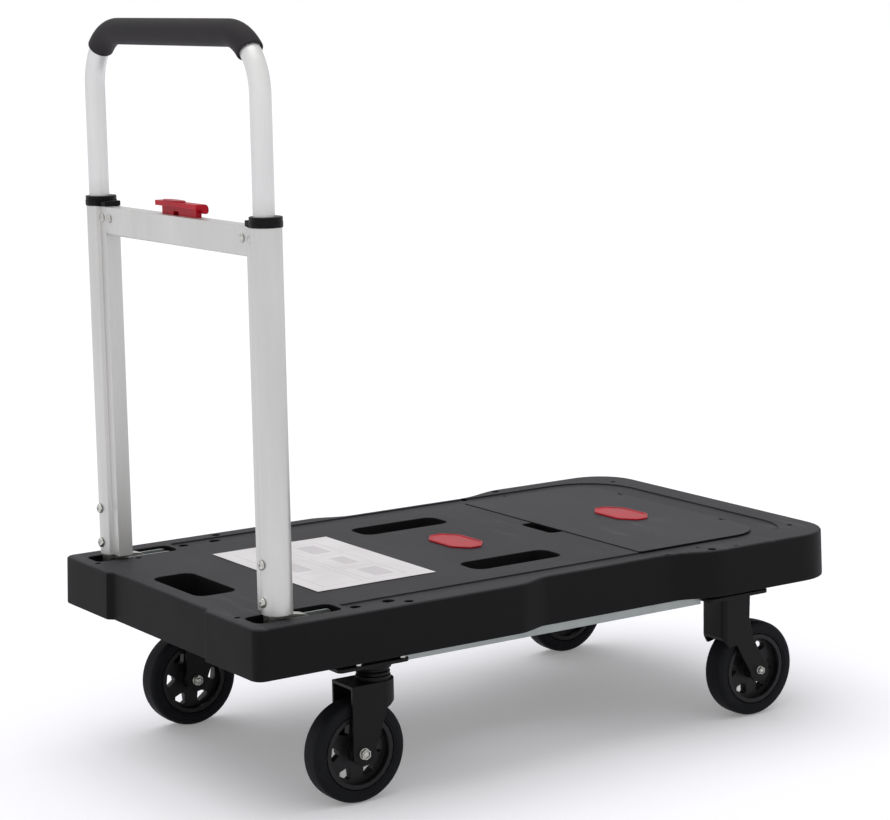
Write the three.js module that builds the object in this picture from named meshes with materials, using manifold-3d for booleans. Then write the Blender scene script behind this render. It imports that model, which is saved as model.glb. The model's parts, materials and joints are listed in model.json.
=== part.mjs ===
// Folding platform cart: a moulded deck on two swivel and two fixed casters, with a
// fold-down handle whose upper tube slides into the legs. Millimetres, +X forward, +Y left, +Z up.

import * as THREE from "three";
import { mergeVertices, toCreasedNormals } from "three/addons/utils/BufferGeometryUtils.js";
import Module from "manifold-3d";

const wasm = await Module();
wasm.setup();

// Fits, cuts and roundness
const touchGap = 0.3;
const cutOverrun = 2;
const weldDistance = 0.001;
const creaseAngle = THREE.MathUtils.degToRad(35);
const quarterTurn = Math.PI / 2;
const wheelSides = 30;
const hubSides = 24;
const tubeSides = 18;
const bentSides = 16;
const rodSides = 12;
const cornerSteps = 3;
const windowCornerSteps = 1;
const forkBendSteps = 8;
const wideCornerSteps = 6;
const deckCornerSteps = 7;
const hexagonSides = 6;

// Wheels
const wheelDiameter = 125;
const tyreWidth = 32;
const tyreEdgeRadius = 7;
const tyreSideSwell = 1;
const hubRadius = 45.7;
const rimWall = 5.7;
const rimInset = 1.3;
const webThickness = 10;
const bossRadius = 14;
const spokeCount = 6;
const windowInnerRadius = 20.5;
const windowOuterRadius = 37.5;
const windowHalfAngle = 0.31;
const windowRounding = 2.5;
const bushRadius = 6;
const axleRadius = 4;
const nutAcrossFlats = 13;
const nutHeight = 6;
const bossSideGap = 0.9;

// Casters
const casterHeight = 172.3;
const casterInset = 26;
const swivelSetback = 179.5;
const fixedSetback = 162.5;
const forkWidth = 46;
const forkWall = 3.5;
const axleBossRadius = 15.5;
const plateThickness = 4.5;
const plateLength = 98;
const plateWidth = 72;
const plateCorner = 6;
const swivelTrail = 28.6;
const swivelPlateShift = -19;
const swivelCrownTop = 145;
const swivelCrownWall = 4;
const swivelRearReach = 43;
const swivelBendAhead = 2;
const swivelSkirtShare = 0.72;
const swivelFrontShares = [
  [0.16, 0.6],
  [-0.31, 0.13],
];
const crownRingRadius = 21;
const crownRingHeight = 5;
const raceRadius = 22.5;
const raceNeckRadius = 19.5;
const raceNeckShare = 0.45;
const kingpinRadius = 6;
const kingpinHeadRadius = 9;
const kingpinHeadHeight = 5;
const fixedOffset = 45;
const fixedFrontReach = 29;
const fixedWebBehind = 15;
const fixedBendRadius = 7;
const fixedFrontShares = [
  [0.62, 0.69],
  [0.78, 0.405],
];
const fixedRearShares = [
  [0.385, 0.192],
  [0.155, 0.37],
  [-0.13, 0.347],
  [-0.56, 0.64],
];

// Deck body
const deckLength = 875;
const waistHalfWidth = 230;
const rearFlare = 16;
const frontFlare = 20;
const deckHeight = 60.5;
const deckDraft = 1.5;
const topRounding = 2.5;
const skirtWall = 4;
const topWall = 6;
const rearCornerRadius = 12;
const frontCornerRadius = 60;
const waistRearStart = -74;
const waistRearEnd = -18;
const waistFrontStart = 163;
const waistFrontEnd = 240;
const waistSteps = 7;
const rearStepDepth = 6.5;
const rearStepHalf = 119;
const rearStepRun = 7;
const skirtDrop = 5.1;

// Channel and raised middle of the deck top
const rimWidth = 7;
const channelWidth = 26;
const channelDepth = 2.2;
const channelFrontInset = 38.5;
const channelOuterRadius = 80;
const channelRearCorner = 4;
const channelRearGap = 7;


// Hand slots, rear hand recess and pocket walls
const pocketWall = 3;
const handSlotLength = 133;
const handSlotWidth = 48;
const handSlotCentreX = -3.5;
const handSlotInset = 102;
const handSlotRadius = 14;
const handSlotDepth = 46;
const rearRecessLength = 55;
const rearRecessHalfWidth = 62;
const rearRecessRearInset = 27.5;
const rearRecessRadius = 14;
const rearRecessDepth = 35;
const notchLength = 24;
const notchHalfWidth = 35;
const notchDepth = 9;
const notchUnderLid = 4;
const notchRadius = 8;

// Lid over the front tray
const lidFrontInset = 80.5;
const lidLength = 210;
const lidThickness = 2.8;
const lidFrontRadius = 50;
const lidRearRadius = 5;
const lidRearGap = 0.6;
const lidRodRadius = 0.8;
const lidRodClearance = 0.2;
const lidEarWidth = 8;
const lidEarSpan = 110;
const lidEarGap = 0.5;
const lidEarLength = 6;
const trayMargin = 14;
const trayRadius = 12;
const trayDepth = 33;

// Badges and sheet
const badgeHalfLength = 47;
const badgeHalfWidth = 25;
const badgeEndHalf = 7;
const badgeSideHalf = 35;
const badgeRounding = 5;
const badgeThickness = 1.6;
const frontBadgeSetback = 87;
const sheetLength = 169;
const sheetWidth = 259;
const sheetCentreX = -201.5;
const sheetThickness = 0.4;

// Chassis under the deck
const railEndInset = 107.5;
const railWidth = 60;
const railOutset = 19;
const railSheet = 2;
const railLipHeight = 17.4;
const railLipDrop = 8.6;
const railLipClearance = 3;
const crossRailWidth = 40;
const crossRailHeight = 15;
const ribThickness = 4;
const innerRibInset = 7;
const outerRibInset = 44;
const outerRibEndInset = 40;
const crossRibLift = 13;
const crossRibPlaces = [-130, 100];
const deckBossRadius = 7;
const deckBossSpacing = 61;
const deckBossOutset = 27.5;
const rearBossShift = -8.5;

// Handle legs
const handleSetback = 50;
const legInset = 25.3;
const legRadius = 18.5;
const legRoundAhead = 2.2;
const legInnerReach = 29;
const legRearFacet = 7;
const legFrontFacet = 12.5;
const legArcEnd = THREE.MathUtils.degToRad(222);
const legStepRun = 1.5;
const legWall = 2;
const chamberOuter = 18.6;
const guideRib = 2.4;
const guideTurn = 45;
const legStart = 4.6;
const legTopRise = 3;
const legArcSteps = 11;
const boreClearance = 0.3;

// Fold hinge in the leg slots
const pivotAhead = 32.5;
const pivotDrop = 9.5;
const pivotPinRadius = 4;
const pivotPinHead = 5.5;
const pivotPinHeadHeight = 2.5;
const tongueThickness = 14;
const tongueEyeRadius = 10;
const tongueHeel = 16;
const tongueHeelRounding = 5;
const plugHeight = 73;
const bracketSheet = 2.5;
const bracketRearReach = 21;
const bracketFrontReach = 46;
const bracketCorner = 6;
const bracketTopDrop = 2.5;
const legSlotRearReach = 32.5;
const legSlotFrontReach = 82.5;
const legSlotInner = 21.7;
const legSlotOuter = 15.3;
const legSlotRadius = 10;
const legSlotDepth = 35.6;
const screwHeights = [15, 59];
const screwRadius = 3;
const screwHeadRadius = 6;
const screwHeadHeight = 3.2;
const screwRimShare = 0.33;
const screwDepth = 8;

// Crossbar, collars and release button
const crossbarDrop = 250;
const crossbarHeight = 35;
const crossbarWall = 1.5;
const crossbarCorner = 4;
const collarCapHeight = 6.5;
const collarHeight = 12;
const collarRadius = 19.2;
const collarGrow = 1.2;
const bracketPlate = 2;
const bracketInboard = 34;
const bracketOutboard = 12;
const bracketHeight = 28;
const rivetRadius = 2;
const rivetHeadRadius = 4;
const rivetHeadHeight = 2;
const rivetSpacing = 19;
const rivetOutboard = 9.5;
const rivetLift = 3.5;
const lockPinRadius = 1.5;
const lockPinAhead = 8;
const lockPinTip = 5.2;
const wedgeHalfWidth = 10;
const wedgeDrop = 9;
const wedgeThickness = 3.4;
const wedgeNeckHalf = 3;
const buttonHalfLength = 51;
const buttonRear = -2.8;
const buttonFront = 14.5;
const buttonRise = 16;
const buttonPlate = 6;
const buttonLipHeight = 11.6;
const buttonLipDepth = 8;
const buttonRounding = 5.5;
const buttonLipRounding = 3.5;
const stemHalfLength = 42.5;
const stemRear = 2;
const stemFront = 9.5;
const stemLift = 27;
const footRear = -4.5;
const footFront = 5.5;
const footHalfLength = 12;
const footLift = 20;
const footHeight = 8;
const springRadius = 4;
const springWire = 0.6;
const springCoils = 5;
const springStepsPerCoil = 8;
const springAhead = 0;
const springWireSides = 5;

// Upper tube and grip
const tubeRadius = 12.5;
const tubeWall = 1.5;
const tubeFootDrop = 360;
const bendRadius = 68;
const gripHeight = 900;
const gripRadius = 16;
const telescopeTravel = 135;
const bendSteps = 8;
const gripStartStep = 4;

// Places that follow from the sizes above
const axleHeight = wheelDiameter / 2;
const railWebBottom = casterHeight + touchGap;
const railWebTop = railWebBottom + railSheet;
const deckBottom = casterHeight + skirtDrop;
const deckTop = deckBottom + deckHeight;
const deckUnderside = deckTop - topWall;
const rearEdge = -deckLength / 2;
const frontEdge = deckLength / 2;
const handleX = rearEdge + handleSetback;
const legSlotFront = handleX + legSlotFrontReach;
const rearHalfWidth = waistHalfWidth + rearFlare;
const frontHalfWidth = waistHalfWidth + frontFlare;
const plateauHalfWidth = waistHalfWidth - rimWidth - channelWidth;
const handSlotCentreY = waistHalfWidth - handSlotInset;
const casterHalfTrack = waistHalfWidth - casterInset;
const handleHalfSpan = waistHalfWidth - legInset;
const lidFront = frontEdge - lidFrontInset;
const lidRear = lidFront - lidLength;
const lidBottom = deckTop - channelDepth + touchGap;
const lidTop = lidBottom + lidThickness;
const lidRodX = lidFront - lidThickness / 2;
const lidRodZ = lidBottom + lidThickness / 2;
const swivelX = rearEdge + swivelSetback;
const fixedX = frontEdge - fixedSetback;
const swivelPlateFront = swivelX + swivelPlateShift + plateLength / 2;
const railLipHalfLength = -swivelPlateFront - railLipClearance;
const railHalfLength = frontEdge - railEndInset;
const outerRibHalfLength = railHalfLength - outerRibEndInset;
const pivotZ = deckTop - pivotDrop;
const legBottom = deckTop + legStart;
const crossbarBottom = gripHeight - crossbarDrop;
const crossbarTop = crossbarBottom + crossbarHeight;
const legTop = crossbarTop + legTopRise;
const tubeBottom = gripHeight - tubeFootDrop;
const lockPinZ = crossbarBottom + crossbarHeight / 2;
const collarBottom = crossbarTop + touchGap;
const collarTop = collarBottom + collarHeight;
const bendStart = gripHeight - bendRadius;
const boreRadius = tubeRadius + boreClearance;

// Finishes
const finish = (color, roughness, metalness) =>
  new THREE.MeshStandardMaterial({ color, roughness, metalness });
const deckPlastic = finish(0x48484b, 0.62, 0);
const lidPlastic = finish(0x47474a, 0.6, 0);
const blackPlastic = finish(0x222224, 0.5, 0);
const redPlastic = finish(0xaa1928, 0.42, 0);
const whiteSheet = finish(0xe9e9ea, 0.55, 0);
const galvanised = finish(0xa5a7a7, 0.45, 0.8);
const blackSteel = finish(0x1d1d1f, 0.4, 0.5);
const zincSteel = finish(0xbcbcb8, 0.32, 0.9);
const brushedAluminium = finish(0xc8c8c6, 0.38, 0.85);
const tyreRubber = finish(0x1c1d21, 0.75, 0);
const hubPlastic = finish(0x1a1a1c, 0.45, 0);
const gripFoam = finish(0x232326, 0.85, 0);

// A closed solid from a three.js geometry, faces outward.
function solidFrom(geometry) {
  const bare = geometry.index ? geometry.toNonIndexed() : geometry.clone();
  bare.deleteAttribute("normal");
  bare.deleteAttribute("uv");
  const merged = mergeVertices(bare, weldDistance);
  const corners = [];
  for (let i = 0; i < merged.index.count; i += 3) {
    const [a, b, c] = [0, 1, 2].map((k) => merged.index.getX(i + k));
    if (a !== b && b !== c && c !== a) corners.push(a, b, c);
  }
  const build = (list) =>
    new wasm.Manifold(
      new wasm.Mesh({
        numProp: 3,
        vertProperties: new Float32Array(merged.attributes.position.array),
        triVerts: new Uint32Array(list),
      }),
    );
  const solid = build(corners);
  return solid.volume() > 0 ? solid : build(corners.reverse());
}

function geometryOf(solid) {
  const mesh = solid.getMesh();
  const places = new Float32Array(mesh.numVert * 3);
  for (let i = 0; i < mesh.numVert; i += 1) {
    places.set(mesh.vertProperties.subarray(i * mesh.numProp, i * mesh.numProp + 3), i * 3);
  }
  const geometry = new THREE.BufferGeometry();
  geometry.setAttribute("position", new THREE.BufferAttribute(places, 3));
  geometry.setIndex(new THREE.BufferAttribute(new Uint32Array(mesh.triVerts), 1));
  return geometry;
}

const join = (...solids) => solids.reduce((whole, next) => whole.add(next));
const cut = (body, ...tools) => tools.reduce((rest, tool) => rest.subtract(tool), body);
const mirrored = (solid) => solidFrom(geometryOf(solid).scale(1, -1, 1));

// Prisms drawn in the plane across one axis and pushed along it
function prismZ(shape, low, high) {
  const settings = { depth: high - low, bevelEnabled: false };
  return solidFrom(new THREE.ExtrudeGeometry(shape, settings).translate(0, 0, low));
}

function prismY(shape, low, high) {
  const settings = { depth: high - low, bevelEnabled: false };
  const geometry = new THREE.ExtrudeGeometry(shape, settings).rotateX(quarterTurn);
  return solidFrom(geometry.translate(0, high, 0));
}

function prismX(shape, low, high) {
  const settings = { depth: high - low, bevelEnabled: false };
  const turn = new THREE.Matrix4().makeBasis(
    new THREE.Vector3(0, 1, 0),
    new THREE.Vector3(0, 0, 1),
    new THREE.Vector3(1, 0, 0),
  );
  const geometry = new THREE.ExtrudeGeometry(shape, settings).applyMatrix4(turn);
  return solidFrom(geometry.translate(low, 0, 0));
}

function block(x0, x1, y0, y1, z0, z1) {
  const geometry = new THREE.BoxGeometry(x1 - x0, y1 - y0, z1 - z0);
  return solidFrom(geometry.translate((x0 + x1) / 2, (y0 + y1) / 2, (z0 + z1) / 2));
}

// Round bars along one axis; the place is given by the two other coordinates in X, Y, Z order.
function bar(axis, radius, low, high, place = [0, 0], sides = rodSides) {
  const geometry = new THREE.CylinderGeometry(radius, radius, high - low, sides);
  geometry.translate(0, (low + high) / 2, 0);
  if (axis === "x") geometry.rotateZ(-quarterTurn).translate(0, place[0], place[1]);
  if (axis === "y") geometry.translate(place[0], 0, place[1]);
  if (axis === "z") geometry.rotateX(quarterTurn).translate(place[0], place[1], 0);
  return solidFrom(geometry);
}

// A turned ring or knob; the profile lists radius and place along the Y axis.
function turnedY(profile, sides = rodSides) {
  const points = profile.map(([radius, along]) => new THREE.Vector2(radius, along));
  return solidFrom(new THREE.LatheGeometry(points, sides));
}

function turnedZ(profile, sides = rodSides) {
  const points = profile.map(([radius, along]) => new THREE.Vector2(radius, along));
  return solidFrom(new THREE.LatheGeometry(points, sides).rotateX(quarterTurn));
}

function arcPoints(x, y, radius, from, to, steps) {
  return Array.from({ length: steps + 1 }, (_, i) => {
    const angle = THREE.MathUtils.lerp(from, to, i / steps);
    return new THREE.Vector2(x + radius * Math.cos(angle), y + radius * Math.sin(angle));
  });
}

// A closed outline through corners given as x, y and rounding radius.
function roundedShape(corners, steps = cornerSteps) {
  const points = [];
  corners.forEach(([x, y, radius = 0], i) => {
    const corner = new THREE.Vector2(x, y);
    const [bx, by] = corners[(i + corners.length - 1) % corners.length];
    const [ax, ay] = corners[(i + 1) % corners.length];
    const back = new THREE.Vector2(bx, by).sub(corner).normalize();
    const on = new THREE.Vector2(ax, ay).sub(corner).normalize();
    if (radius === 0) {
      points.push(corner);
      return;
    }
    const half = Math.acos(THREE.MathUtils.clamp(back.dot(on), -1, 1)) / 2;
    const inward = back.clone().add(on).normalize();
    const centre = corner.clone().addScaledVector(inward, radius / Math.sin(half));
    const from = corner.clone().addScaledVector(back, radius / Math.tan(half)).sub(centre).angle();
    const turn = Math.sign(on.cross(back)) * (Math.PI - 2 * half);
    points.push(...arcPoints(centre.x, centre.y, radius, from, from + turn, steps));
  });
  return new THREE.Shape(points);
}

function roundedRectangle(x0, x1, y0, y1, radius) {
  return roundedShape([
    [x0, y0, radius],
    [x1, y0, radius],
    [x1, y1, radius],
    [x0, y1, radius],
  ]);
}

// A named mesh with its own copy of its finish
function piece(name, solid, material) {
  const mesh = new THREE.Mesh(toCreasedNormals(geometryOf(solid), creaseAngle), material.clone());
  mesh.name = name;
  return mesh;
}

// Deck outline, seen from above, moved inward by an inset
function halfWidthAt(x) {
  const rear = THREE.MathUtils.smoothstep(x, waistRearStart, waistRearEnd);
  const front = THREE.MathUtils.smoothstep(x, waistFrontStart, waistFrontEnd);
  const waist = THREE.MathUtils.lerp(rearHalfWidth, waistHalfWidth, rear);
  return THREE.MathUtils.lerp(waist, frontHalfWidth, front);
}

function deckOutline(inset) {
  const rear = rearEdge + inset;
  const front = frontEdge - inset;
  const rearRound = rearCornerRadius - inset;
  const frontRound = frontCornerRadius - inset;
  const rearCorner = [rear + rearRound, inset + rearRound - rearHalfWidth];
  const right = [
    new THREE.Vector2(rear + rearStepDepth, -rearStepHalf),
    new THREE.Vector2(rear, -rearStepHalf - rearStepRun),
    ...arcPoints(...rearCorner, rearRound, Math.PI, 3 * quarterTurn, cornerSteps),
  ];
  for (const [start, end] of [
    [waistRearStart, waistRearEnd],
    [waistFrontStart, waistFrontEnd],
  ]) {
    for (let i = 0; i <= waistSteps; i += 1) {
      const x = THREE.MathUtils.lerp(start, end, i / waistSteps);
      right.push(new THREE.Vector2(x, inset - halfWidthAt(x)));
    }
  }
  const corner = [front - frontRound, inset + frontRound - frontHalfWidth];
  right.push(...arcPoints(...corner, frontRound, -quarterTurn, 0, deckCornerSteps));
  const left = right.map((point) => new THREE.Vector2(point.x, -point.y)).reverse();
  return new THREE.Shape([...right, ...left]);
}

// The outside of the deck, its top edge rounded and its sides leaning out toward the bottom
function deckBody() {
  const geometry = new THREE.ExtrudeGeometry(deckOutline(0), {
    depth: deckHeight,
    bevelThickness: topRounding,
    bevelSize: topRounding,
    bevelOffset: -topRounding,
    bevelSegments: 2,
  });
  geometry.translate(0, 0, deckBottom - topRounding);
  const places = geometry.attributes.position;
  for (let i = 0; i < places.count; i += 1) {
    const lean = (deckDraft * (deckTop - places.getZ(i))) / deckHeight;
    places.setX(i, places.getX(i) * (1 + lean / frontEdge));
    places.setY(i, places.getY(i) * (1 + lean / frontHalfWidth));
  }
  const reach = deckLength;
  return cut(solidFrom(geometry), block(-reach, reach, -reach, reach, 0, deckBottom));
}

// Pockets sunk into the deck: a rounded rectangle, its rounding and how deep it goes
function pockets() {
  const slots = [-1, 1].map((side) => ({
    x: [handSlotCentreX - handSlotLength / 2, handSlotCentreX + handSlotLength / 2],
    y: [side * handSlotCentreY - handSlotWidth / 2, side * handSlotCentreY + handSlotWidth / 2],
    radius: handSlotRadius,
    depth: handSlotDepth,
    through: true,
  }));
  const legSlots = [-1, 1].map((side) => ({
    x: [handleX - legSlotRearReach, legSlotFront],
    y: [
      side * handleHalfSpan - (side > 0 ? legSlotInner : legSlotOuter),
      side * handleHalfSpan + (side > 0 ? legSlotOuter : legSlotInner),
    ],
    radius: legSlotRadius,
    depth: legSlotDepth,
  }));
  const rear = rearEdge + rearRecessRearInset;
  const recess = {
    x: [rear, rear + rearRecessLength],
    y: [-rearRecessHalfWidth, rearRecessHalfWidth],
    radius: rearRecessRadius,
    depth: rearRecessDepth,
  };
  const notch = {
    x: [lidRear + notchUnderLid - notchLength, lidRear + notchUnderLid],
    y: [-notchHalfWidth, notchHalfWidth],
    radius: notchRadius,
    depth: notchDepth,
  };
  const tray = {
    x: [lidRear + trayMargin, lidFront - trayMargin],
    y: [trayMargin - plateauHalfWidth, plateauHalfWidth - trayMargin],
    radius: trayRadius,
    depth: trayDepth,
  };
  return [...slots, ...legSlots, recess, notch, tray];
}

function pocketWalls({ x, y, radius, depth }) {
  const outline = roundedRectangle(
    x[0] - pocketWall,
    x[1] + pocketWall,
    y[0] - pocketWall,
    y[1] + pocketWall,
    radius + pocketWall,
  );
  return prismZ(outline, deckTop - depth - pocketWall, deckTop - topWall / 2);
}

function pocketCut({ x, y, radius, depth, through }) {
  const floor = deckTop - depth - (through ? pocketWall + cutOverrun : 0);
  return prismZ(roundedRectangle(...x, ...y, radius), floor, deckTop + cutOverrun);
}

// The shallow channel up both sides and across the front; the lid lies on its floor
function channelCut() {
  const wall = waistHalfWidth - rimWidth;
  const rear = legSlotFront + channelRearGap;
  const front = frontEdge - channelFrontInset;
  const outerCorners = [
    [rear, -wall, channelRearCorner],
    [front, -wall, channelOuterRadius],
    [front, wall, channelOuterRadius],
    [rear, wall, channelRearCorner],
  ];
  const outer = roundedShape(outerCorners, wideCornerSteps);
  const floor = deckTop - channelDepth;
  const island = block(
    rear - cutOverrun,
    lidRear - lidRearGap,
    -plateauHalfWidth,
    plateauHalfWidth,
    floor - cutOverrun,
    deckTop + cutOverrun,
  );
  return cut(prismZ(outer, floor, deckTop + cutOverrun / 2), island);
}

// Ears that hold the lid's hinge rod
function lidEars() {
  const ears = [-1, 1].map((side) =>
    block(
      lidRodX - lidThickness / 2,
      lidRodX + lidThickness / 2 + touchGap,
      side * lidEarSpan - lidEarWidth / 2,
      side * lidEarSpan + lidEarWidth / 2,
      deckTop - topWall / 2,
      lidTop,
    ),
  );
  return join(...ears);
}

function lidRodHole() {
  const reach = lidEarSpan + lidEarWidth;
  return bar("y", lidRodRadius + lidRodClearance, -reach, reach, [lidRodX, lidRodZ], rodSides / 2);
}

// Ribs and bosses under the deck that bear on the rails and the caster plates
function deckSupports() {
  const railInner = casterHalfTrack + railOutset - railWidth;
  const half = ribThickness / 2;
  const high = deckUnderside + cutOverrun;
  const supports = [];
  for (const side of [-1, 1]) {
    const ribs = [
      [railInner + innerRibInset, railHalfLength],
      [railInner + outerRibInset, outerRibHalfLength],
    ];
    for (const [inset, reach] of ribs) {
      const middle = side * (inset + half);
      supports.push(block(-reach, reach, middle - half, middle + half, railWebTop + touchGap, high));
    }
    for (const place of [swivelX + rearBossShift, fixedX]) {
      for (const step of [-1, 1]) {
        const spot = [place + (step * deckBossSpacing) / 2, side * (casterHalfTrack + deckBossOutset)];
        supports.push(bar("z", deckBossRadius, casterHeight + touchGap, high, spot));
      }
    }
  }
  for (const place of crossRibPlaces) {
    const reach = waistHalfWidth - skirtWall / 2;
    supports.push(block(place - half, place + half, -reach, reach, deckBottom + crossRibLift, high));
  }
  return join(...supports);
}

function deckShell() {
  const cavity = prismZ(deckOutline(skirtWall), deckBottom - cutOverrun, deckUnderside);
  const sunk = pockets();
  let shell = cut(deckBody(), cavity);
  shell = join(shell, deckSupports(), ...sunk.map(pocketWalls));
  shell = cut(shell, channelCut(), ...sunk.map(pocketCut));
  return cut(join(shell, lidEars()), lidRodHole());
}

// The lid carries on the raised middle; its front edge is rounded about the hinge rod
function frontLid() {
  const half = plateauHalfWidth;
  const corners = [
    [lidRear, -half, lidRearRadius],
    [lidFront, -half, lidFrontRadius],
    [lidFront, half, lidFrontRadius],
    [lidRear, half, lidRearRadius],
  ];
  const outline = roundedShape(corners, wideCornerSteps);
  const straightHalf = half - lidFrontRadius;
  const [low, high] = [lidBottom - cutOverrun, lidTop + cutOverrun];
  const edge = block(lidRodX, lidFront + cutOverrun, -half, half, low, high);
  const barrel = bar("y", lidThickness / 2, -straightHalf, straightHalf, [lidRodX, lidRodZ]);
  const plate = join(cut(prismZ(outline, lidBottom, lidTop), edge), barrel);
  const notches = [-1, 1].map((side) =>
    block(
      lidFront - lidEarLength,
      lidFront + cutOverrun,
      side * lidEarSpan - lidEarWidth / 2 - lidEarGap,
      side * lidEarSpan + lidEarWidth / 2 + lidEarGap,
      low,
      high,
    ),
  );
  return cut(plate, ...notches, lidRodHole());
}

function lidHingeRod() {
  const reach = lidEarSpan + lidEarWidth - touchGap;
  return bar("y", lidRodRadius, -reach, reach, [lidRodX, lidRodZ], rodSides / 2);
}

function badge(centreX, bottom) {
  const corners = [
    [badgeEndHalf, -badgeHalfLength],
    [badgeHalfWidth, -badgeSideHalf],
    [badgeHalfWidth, badgeSideHalf],
    [badgeEndHalf, badgeHalfLength],
    [-badgeEndHalf, badgeHalfLength],
    [-badgeHalfWidth, badgeSideHalf],
    [-badgeHalfWidth, -badgeSideHalf],
    [-badgeEndHalf, -badgeHalfLength],
  ];
  const outline = roundedShape(corners.map(([u, v]) => [centreX + u, v, badgeRounding]));
  return prismZ(outline, bottom, bottom + badgeThickness);
}

// Chassis: two side rails with a drip lip between the casters, and two cross rails
function sideRail() {
  const outer = casterHalfTrack + railOutset;
  const inner = outer - railWidth;
  const web = block(-railHalfLength, railHalfLength, inner, outer, railWebBottom, railWebTop);
  const upright = block(
    -railHalfLength,
    railHalfLength,
    inner,
    inner + railSheet,
    railWebBottom,
    railWebBottom + railLipHeight,
  );
  const lip = block(
    -railLipHalfLength,
    railLipHalfLength,
    outer - railSheet,
    outer,
    railWebBottom - railLipDrop,
    railWebTop,
  );
  return join(web, upright, lip);
}

function crossRail(centreX) {
  const reach = casterHalfTrack + railOutset - railWidth - touchGap;
  const half = crossRailWidth / 2;
  const bottom = railWebBottom;
  const outside = block(centreX - half, centreX + half, -reach, reach, bottom, bottom + crossRailHeight);
  const inside = block(
    centreX - half + railSheet,
    centreX + half - railSheet,
    -reach - cutOverrun,
    reach + cutOverrun,
    bottom - cutOverrun,
    bottom + crossRailHeight - railSheet,
  );
  return cut(outside, inside);
}

// Wheel pieces about their own axle
function tyre() {
  const radius = wheelDiameter / 2;
  const half = tyreWidth / 2;
  const inner = hubRadius + touchGap;
  const corner = radius - tyreEdgeRadius;
  const slant = tyreEdgeRadius * Math.SQRT1_2;
  const flat = half - tyreEdgeRadius;
  return turnedY(
    [
      [inner, tyreSideSwell - half],
      [corner, -half],
      [corner + slant, -flat - slant],
      [radius, -flat],
      [radius, flat],
      [corner + slant, flat + slant],
      [corner, half],
      [inner, half - tyreSideSwell],
      [inner, tyreSideSwell - half],
    ],
    wheelSides,
  );
}

function hubWindow(turn) {
  const corners = [
    [windowInnerRadius, 0],
    [windowOuterRadius, windowHalfAngle],
    [windowOuterRadius, -windowHalfAngle],
  ];
  return roundedShape(
    corners.map(([radius, angle]) => [
      radius * Math.cos(turn + angle),
      radius * Math.sin(turn + angle),
      windowRounding,
    ]),
    windowCornerSteps,
  );
}

function hub() {
  const bore = bushRadius + touchGap;
  const bossHalf = forkWidth / 2 - forkWall - bossSideGap;
  const rimInner = hubRadius - rimWall;
  const half = tyreWidth / 2 - rimInset;
  const side = [
    [bore, bossHalf],
    [bossRadius, bossHalf],
    [bossRadius, webThickness / 2],
    [rimInner, webThickness / 2],
    [rimInner, half],
    [hubRadius, half],
  ];
  const back = side.map(([radius, along]) => [radius, -along]).reverse();
  const body = turnedY([...side, ...back, side[0]], hubSides);
  const windows = Array.from({ length: spokeCount }, (_, i) =>
    prismY(hubWindow((i * 2 * Math.PI) / spokeCount), -webThickness, webThickness),
  );
  return cut(body, ...windows);
}

function axleBush() {
  const half = forkWidth / 2 - forkWall - touchGap;
  const bore = bar("y", axleRadius + touchGap, -forkWidth, forkWidth);
  return cut(bar("y", bushRadius, -half, half), bore);
}

// Axle bolt through both fork legs, its hexagon head and nut outside them
function axleBolt() {
  const face = forkWidth / 2 + touchGap;
  const hexagonRadius = nutAcrossFlats / 2 / Math.cos(Math.PI / hexagonSides);
  const nut = bar("y", hexagonRadius, face, face + nutHeight, [0, 0], hexagonSides);
  const head = bar("y", hexagonRadius, -face - nutHeight, -face, [0, 0], hexagonSides);
  return join(bar("y", axleRadius, -face - nutHeight / 2, face + nutHeight / 2), nut, head);
}

// Fork outlines seen from above: straight sides and one closed end, round or flat
function roundForkPlan(inset, open, bend) {
  const half = forkWidth / 2 - inset;
  return new THREE.Shape([
    new THREE.Vector2(open, -half),
    ...arcPoints(bend, 0, half, -quarterTurn, quarterTurn, forkBendSteps),
    new THREE.Vector2(open, half),
  ]);
}

function flatForkPlan(inset, open) {
  const half = forkWidth / 2 - inset;
  const web = inset - fixedWebBehind;
  return roundedShape([
    [open, -half],
    [open, half],
    [web, half, fixedBendRadius - inset],
    [web, -half, fixedBendRadius - inset],
  ]);
}

function forkFrom(sideOutline, plan, insidePlan, top, crownWall, axleX) {
  const place = [axleX, axleHeight];
  const boss = bar("y", axleBossRadius, -forkWidth, forkWidth, place, tubeSides);
  const profile = join(prismY(sideOutline, -forkWidth, forkWidth), boss);
  const outside = prismZ(plan, 0, top).intersect(profile);
  const inside = prismZ(insidePlan, -cutOverrun, top - crownWall);
  return cut(outside, inside, bar("y", axleRadius + touchGap, -forkWidth, forkWidth, place));
}

function swivelFork() {
  const rise = swivelCrownTop - axleHeight;
  const front = swivelBendAhead + forkWidth / 2 + cutOverrun;
  const edge = swivelFrontShares.map(([x, z]) => [x * swivelTrail, axleHeight + z * rise]);
  const outline = roundedShape([
    [-swivelRearReach, swivelCrownTop],
    [front, swivelCrownTop],
    [front, axleHeight + swivelSkirtShare * rise],
    [edge[0][0], edge[0][1], tyreEdgeRadius],
    [edge[1][0], edge[1][1]],
    [axleBossRadius - swivelTrail, axleHeight],
    [-axleBossRadius - swivelTrail, axleHeight],
  ]);
  const plan = roundForkPlan(0, -swivelRearReach, swivelBendAhead);
  const insidePlan = roundForkPlan(forkWall, -swivelRearReach - cutOverrun, swivelBendAhead);
  const body = forkFrom(outline, plan, insidePlan, swivelCrownTop, swivelCrownWall, -swivelTrail);
  const ringBottom = swivelCrownTop - swivelCrownWall / 2;
  const ringTop = swivelCrownTop + crownRingHeight;
  const ring = bar("z", crownRingRadius, ringBottom, ringTop, [0, 0], tubeSides);
  const hole = bar("z", kingpinRadius + touchGap, ringBottom - swivelCrownWall, casterHeight);
  return cut(join(body, ring), hole);
}

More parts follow.
